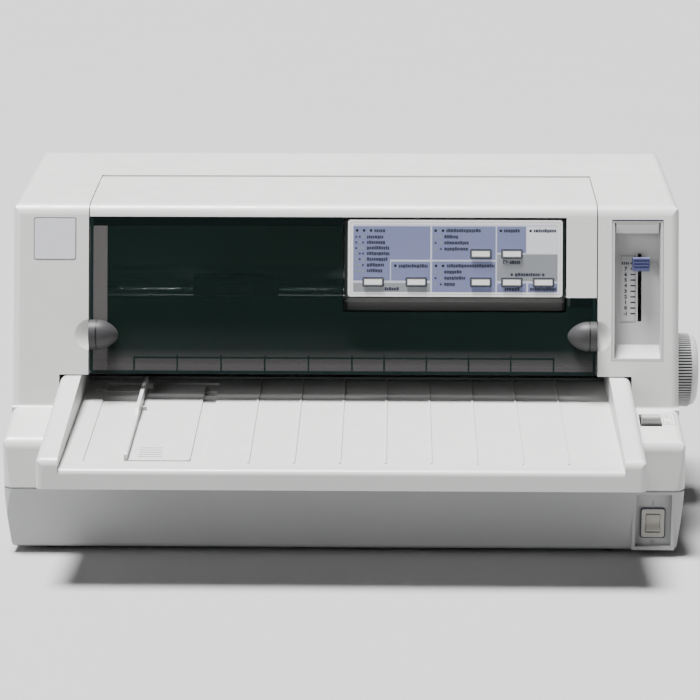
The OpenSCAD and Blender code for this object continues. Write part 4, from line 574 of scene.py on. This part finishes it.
# leaves the places of lamps and buttons free in a field, as smaller rectangles round them
def fieldsClear(field, holes):
    pieces = [field]
    for hx0, hy0, hx1, hy1 in holes:
        left = []
        for x0, y0, x1, y1 in pieces:
            if hx0 >= x1 or hx1 <= x0 or hy0 >= y1 or hy1 <= y0:
                left.append((x0, y0, x1, y1))
                continue
            if hx0 > x0:
                left.append((x0, y0, hx0, y1))
            if hx1 < x1:
                left.append((hx1, y0, x1, y1))
            mx0, mx1 = max(x0, hx0), min(x1, hx1)
            if hy0 > y0:
                left.append((mx0, y0, mx1, hy0))
            if hy1 < y1:
                left.append((mx0, hy1, mx1, y1))
        pieces = left
    return pieces


holes = ([around(spot, *foil["keyHole"]) for spot in buttonsAt.values()]
         + [around(spot, foil["lampHole"], foil["lampHole"]) for spot in lampsAt])


def foilFields(name, fields, mat):
    rects = [rect for field in fields for rect in fieldsClear(field, holes)]
    prints(name, rects, foil["thick"], mat, onFoil)


foilFields("foilBlueFields",
           [(3.7, 26.7, 59.1, 50.6), (3.7, 11.6, 30.2, 26.7), (30.9, 11.6, 59.1, 25.2),
            (60.4, 26.7, 106.0, 50.6), (60.4, 3.4, 106.0, 25.4), (107.0, 31.8, 127.8, 50.6),
            (107.1, 3.4, 128.2, 9.8), (129.4, 3.4, 150.5, 9.8)], blueFoil)
foilFields("foilGreyFields", [(3.7, 3.4, 59.1, 9.8), (107.1, 11.6, 150.5, 30.5)], greyFoil)
foilFields("foilPaleField", [(128.4, 31.0, 150.5, 50.6)], paleFoil)

# lines of small print are plain bars (x0, x1, y), since the part carries no words
bars = [(18.8, 26.6, 47.3), (13.5, 25.4, 42.8), (13.5, 26.6, 38.9), (13.5, 30.1, 34.9),
        (13.5, 29.8, 30.9), (13.5, 28.5, 26.8), (13.5, 25.9, 22.65), (13.5, 24.6, 18.6),
        (36.5, 57.3, 22.0), (26.4, 36.6, 5.4), (70.5, 95.6, 47.5), (69.2, 79.5, 43.0),
        (69.2, 86.6, 38.7), (69.2, 86.9, 34.3), (71.0, 105.3, 22.2), (69.2, 81.6, 17.8),
        (69.2, 84.2, 13.4), (69.2, 76.8, 9.0), (111.9, 123.3, 47.5), (133.3, 149.7, 47.5),
        (116.4, 123.5, 24.7), (119.9, 138.3, 16.0), (112.7, 123.3, 5.6), (130.7, 149.9, 5.6)]
# a small stepped sign below the pause key, as four strokes
stepSign = [(111.4, 23.6, 111.9, 26.6), (111.9, 26.1, 113.4, 26.6), (113.4, 24.7, 113.9, 26.6),
            (113.9, 24.7, 115.3, 25.2)]
# strokes: shortest and longest, the gap after each, and how far they reach down and up
stroke = {"short": 1.0, "long": 1.9, "gap": 0.26, "least": 0.5,
          "reach": ((1.0, 1.0), (1.0, 1.0), (1.0, 1.35), (1.3, 1.0))}
barDashes = []
for x0, x1, y in bars:
    x = x0
    while x < x1 - stroke["least"]:          # short strokes, as small type reads from afar
        step = random.uniform(stroke["short"], stroke["long"])
        low, high = random.choice(stroke["reach"])
        barDashes.append((x, y - low, min(x + step, x1), y + high))
        x += step + stroke["gap"]
prints("printBars", barDashes + stepSign, foil["ink"], darkInk, onInk)

darkDots = [(5.85, 42.9), (8.4, 42.9), (5.85, 38.9), (10.8, 38.9), (5.85, 34.8), (8.4, 30.9),
            (10.8, 30.9), (8.4, 26.8), (10.8, 22.65), (62.9, 38.7), (66.7, 34.3), (62.9, 13.4),
            (66.7, 9.0)]
paleDots = [(10.8, 42.9), (8.4, 38.9), (8.4, 34.8), (10.8, 34.8), (5.85, 30.9), (5.85, 26.8),
            (10.8, 26.8), (5.85, 22.65), (8.4, 22.65), (5.85, 18.5), (8.4, 18.5), (10.8, 18.5),
            (62.9, 43.0), (66.7, 43.0), (66.7, 38.7), (62.9, 34.3), (62.9, 17.8), (66.7, 17.8),
            (66.7, 13.4), (62.9, 9.0)]
diamonds = [(117.7, 16.0), (140.2, 16.0)]
dots("printDotsDark", darkDots, foil["darkDot"], foil["ink"], darkInk, onInk)
dots("printDotsPale", paleDots, foil["paleDot"], foil["ink"], greenInk, onInk)
dots("printDiamonds", diamonds, foil["diamond"], foil["ink"], darkInk, onInk, 4)

# painted shade: a dark ring in the gap round each key, and a fine dark line along the edges of its
# top
keyLook = {"ring": (7.75, 3.45), "ringWide": 0.65, "ringHigh": 0.64, "ringDeep": -0.55,
           "ringRound": 0.9, "edge": (7.0, 2.7), "edgeWide": 0.75, "edgeRound": 0.8,
           "top": 1.6, "colour": (0.075, 0.078, 0.085)}
prints("buttonGapShade", [(*around(spot, *keyLook["ring"]), keyLook["ringWide"])
                          for spot in buttonsAt.values()],
       keyLook["ringHigh"], darkInk, leaning(foil["x"], foil["v"], keyLook["ringDeep"]),
       corner=keyLook["ringRound"])
keyEdgeShade = mouldedPlastic("keyEdgeShadeGrey", keyLook["colour"], *skin["edge"])
onKeys = leaning(foil["x"], foil["v"], keyLook["top"])
for body, spot in buttonsAt.items():
    prints(body + "EdgeShade", [(*around(spot, *keyLook["edge"]), keyLook["edgeWide"])],
           foil["ink"], keyEdgeShade, onKeys, body, keyLook["edgeRound"])
prints("bezelStep", [foil["step"]], foil["stepThick"], lineInk, onFoil,
       corner=foil["stepRound"])
print("panel prints done")


# badge plate, left bare, with a fine groove round it
badge = {"x0": -223.75, "v0": 106.45, "x1": -194.85, "v1": 135.35, "thick": 0.22, "round": 1.2,
         "colour": (0.52, 0.52, 0.565), "apart": 0.85, "line": 0.3, "lineThick": 0.05,
         "lineRound": 1.6}
badgeFinish = mouldedPlastic("badgeSilverLilac", badge["colour"], *skin["badge"])
prints("badgePlate", [(badge["x0"], badge["v0"], badge["x1"], badge["v1"])], badge["thick"],
       badgeFinish, leaning(), corner=badge["round"])
prints("badgeGrooveLine",
       [(badge["x0"] - badge["apart"], badge["v0"] - badge["apart"],
         badge["x1"] + badge["apart"], badge["v1"] + badge["apart"], badge["line"])],
       badge["lineThick"], lineInk, leaning(), corner=badge["lineRound"])


# cover: comb and rim lines at the foot and sides of the window
comb = {"at": (-151.9, -120.8, -89.1, -57.7, -26.2, 5.1, 28.2, 58.6, 88.9, 119.2, 149.9),
        "top": 35.6, "rise": 37.6, "foot": 26.2, "wide": 1.1, "thick": 0.08, "gloss": 0.12,
        "colour": (0.0055, 0.0125, 0.0115),
        "rims": [(-183.2, 24.0, 179.7, 26.2), (178.0, 26.2, 179.9, 78.6),
                 (-183.9, 26.2, -181.6, 136.0)]}
combFinish = mouldedPlastic("combDark", comb["colour"], *skin["comb"])
combShader = combFinish.node_tree.nodes["Principled BSDF"]
combShader.inputs["Specular IOR Level"].default_value = comb["gloss"]
half = comb["wide"] / 2
first, last = comb["at"][0], comb["at"][-1]
rects = [(first - half, comb["top"] - half, last + half, comb["top"] + half)]
for x in comb["at"]:
    rects.append((x - half, comb["foot"], x + half, comb["top"] - half))
    if first < x < last:                     # the inner teeth stand above the line too
        rects.append((x - half, comb["top"] + half, x + half, comb["rise"]))
prints("windowCombLines", rects + comb["rims"], comb["thick"], combFinish, leaning(), "cover")
print("cover trim done")


# lever pocket: ticks and figures of the thickness scale, on the pocket's back
scale = {"first": 68.6, "pitch": 4.04, "count": 10, "x0": 206.0, "x1": 209.6, "tick": 0.52,
         "figureX": 202.6, "figures": 9, "size": 3.5, "bold": 0.2, "thick": 0.06, "deep": -13.0,
         "topAt": (199.7, 201.1, 202.5, 203.9), "topWide": 0.9, "topLow": 104.0,
         "topHigh": 105.9, "label": (199.3, 63.0, 209.8, 110.2, 0.22), "labelThick": 0.04,
         "topLine": (191.6, 134.9, 228.4, 135.7), "topLineThick": 0.05, "proud": 0.02}
onPocket = leaning(0, 0, scale["deep"])
levels = [scale["first"] + i * scale["pitch"] for i in range(scale["count"])]
ticks = [(scale["x0"], v - scale["tick"], scale["x1"], v + scale["tick"]) for v in levels]
# the top setting has plain bars for its sign
ticks += [(x, scale["topLow"], x + scale["topWide"], scale["topHigh"]) for x in scale["topAt"]]
signs = [(str(i - 1), scale["figureX"], v) for i, v in enumerate(levels[:scale["figures"]])]
prints("scaleTicks", ticks, scale["thick"], darkInk, onPocket)
figures("scaleFigures", signs, scale["size"], scale["thick"], darkInk, onPocket,
        bold=scale["bold"])
prints("scaleLabelLine", [scale["label"]], scale["labelThick"], lineInk, onPocket)
# painted shade: a dark line along the top edge of the pocket
prints("pocketTopShade", [scale["topLine"]], scale["topLineThick"], darkInk,
       leaning(0, 0, scale["proud"]))


# power switch: painted shade as a dark line in the gap round its rocker, and the plain I and O
switch = {"x": 218.3, "y": -102.0, "z": 23.8, "line": (-8.75, -10.85, 8.75, 10.85, 0.65),
          "lineThick": 1.8, "lineRound": 1.7, "mark": (0.085, 0.088, 0.095), "markThick": 0.06,
          "on": (-0.25, 12.4, 0.25, 16.2), "off": ("O", 0, -14.0), "offSize": 3.6}
markInk = mouldedPlastic("printMarkGrey", switch["mark"], *skin["line"])
onSwitch = upright(switch["x"], switch["y"], switch["z"])
prints("switchGapShade", [switch["line"]], switch["lineThick"], darkInk, onSwitch,
       corner=switch["lineRound"])
prints("switchMarkOn", [switch["on"]], switch["markThick"], markInk, onSwitch)
figures("switchMarkOff", [switch["off"]], switch["offSize"], switch["markThick"], markInk,
        onSwitch)
print("scale and switch done")


# front tray: thin shade lines along its ribs
tray = {"y": -171.0, "z": 83.5, "slope": 7.3, "middle": 45.5, "pitch": 30.9, "count": 8,
        "beside": 0.6, "line": 0.38, "from": 2.5, "to": 162.0, "thick": 0.03,
        "colour": (0.20, 0.20, 0.20)}
ribs = [tray["middle"] + tray["pitch"] * (i - 3.5) for i in range(tray["count"])]
shadeInk = mouldedPlastic("shadeLineGrey", tray["colour"], *skin["shade"])
prints("trayRibLines", [(x + tray["beside"], tray["from"], x + tray["beside"] + tray["line"],
                         tray["to"]) for x in ribs],
       tray["thick"], shadeInk, lying(0, tray["y"], tray["z"], tray["slope"]))


# right shoulder: outlined pad with plain marks beside the release lever
pad = {"y": -57.6, "z": 95.5, "slope": 14.4, "thick": 0.05, "round": 0.1,
       "rects": [(226.8, -23.8, 235.6, -6.2, 0.35),
                 (228.4, -11.4, 231.2, -9.6, 0.3), (228.0, -13.0, 231.6, -12.6),
                 (229.0, -8.6, 230.6, -8.2), (228.4, -20.8, 231.2, -19.0, 0.3),
                 (228.0, -22.4, 231.6, -22.0), (232.8, -16.0, 233.2, -9.6),
                 (232.8, -21.6, 233.2, -18.6)]}
prints("leverPadLines", pad["rects"], pad["thick"], markInk,
       lying(0, pad["y"], pad["z"], pad["slope"]), corner=pad["round"])


# panel housing: a painted shade line and a fine ridge, paler as a painted highlight, along the lip
# under the panel
lip = {"x0": -0.2, "x1": 157.8, "lowV": 70.3, "lowW": -13.0, "slope": 45.9, "top": 13.9,
       "shade": 1.3, "shadeThick": 0.05, "ridge": (9.2, 9.75), "ridgeThick": 0.35,
       "dark": (0.012, 0.014, 0.014), "pale": (0.16, 0.157, 0.152)}
lipDark = mouldedPlastic("lipShadow", lip["dark"], *skin["lipShade"])
lipRidgeHighlight = mouldedPlastic("lipRidge", lip["pale"], *skin["ridge"])
onLip = (leaning(0, lip["lowV"], lip["lowW"])
         @ Matrix.Rotation(math.radians(lip["slope"]), 4, "X"))
prints("lipShadeLine", [(lip["x0"], lip["top"] - lip["shade"], lip["x1"], lip["top"])],
       lip["shadeThick"], lipDark, onLip)
# painted highlight: the ridge is raised, and paler than the housing where it catches light
prints("lipRidgeLine", [(lip["x0"], lip["ridge"][0], lip["x1"], lip["ridge"][1])],
       lip["ridgeThick"], lipRidgeHighlight, onLip)
print("tray, shoulder and lip done")


# pale floor, wide enough for low views, in metres
ground = {"wide": 40, "cuts": 8, "colour": (0.37, 0.37, 0.37), "rough": 0.6, "cloud": 3,
          "darker": 0.985}
quiet()
bpy.ops.mesh.primitive_plane_add(size=1, location=(0, 0, 0))
floor = bpy.context.object
floor.name = "paleFloor"
bpy.ops.object.mode_set(mode="EDIT")
bpy.ops.transform.resize(value=(ground["wide"], ground["wide"], 1))
bpy.ops.mesh.subdivide(number_cuts=ground["cuts"])
bpy.ops.object.mode_set(mode="OBJECT")
floorFinish, floorTree, floorShader = newFinish("paleFloorFinish", ground["colour"],
                                                ground["rough"])
clouded = noise(floorTree, objectSpace(floorTree), ground["cloud"], 3)
floorTree.links.new(ramp(floorTree, clouded, shade(ground["colour"], ground["darker"]),
                         ground["colour"]), floorShader.inputs["Base Color"])
floor.data.materials.append(floorFinish)
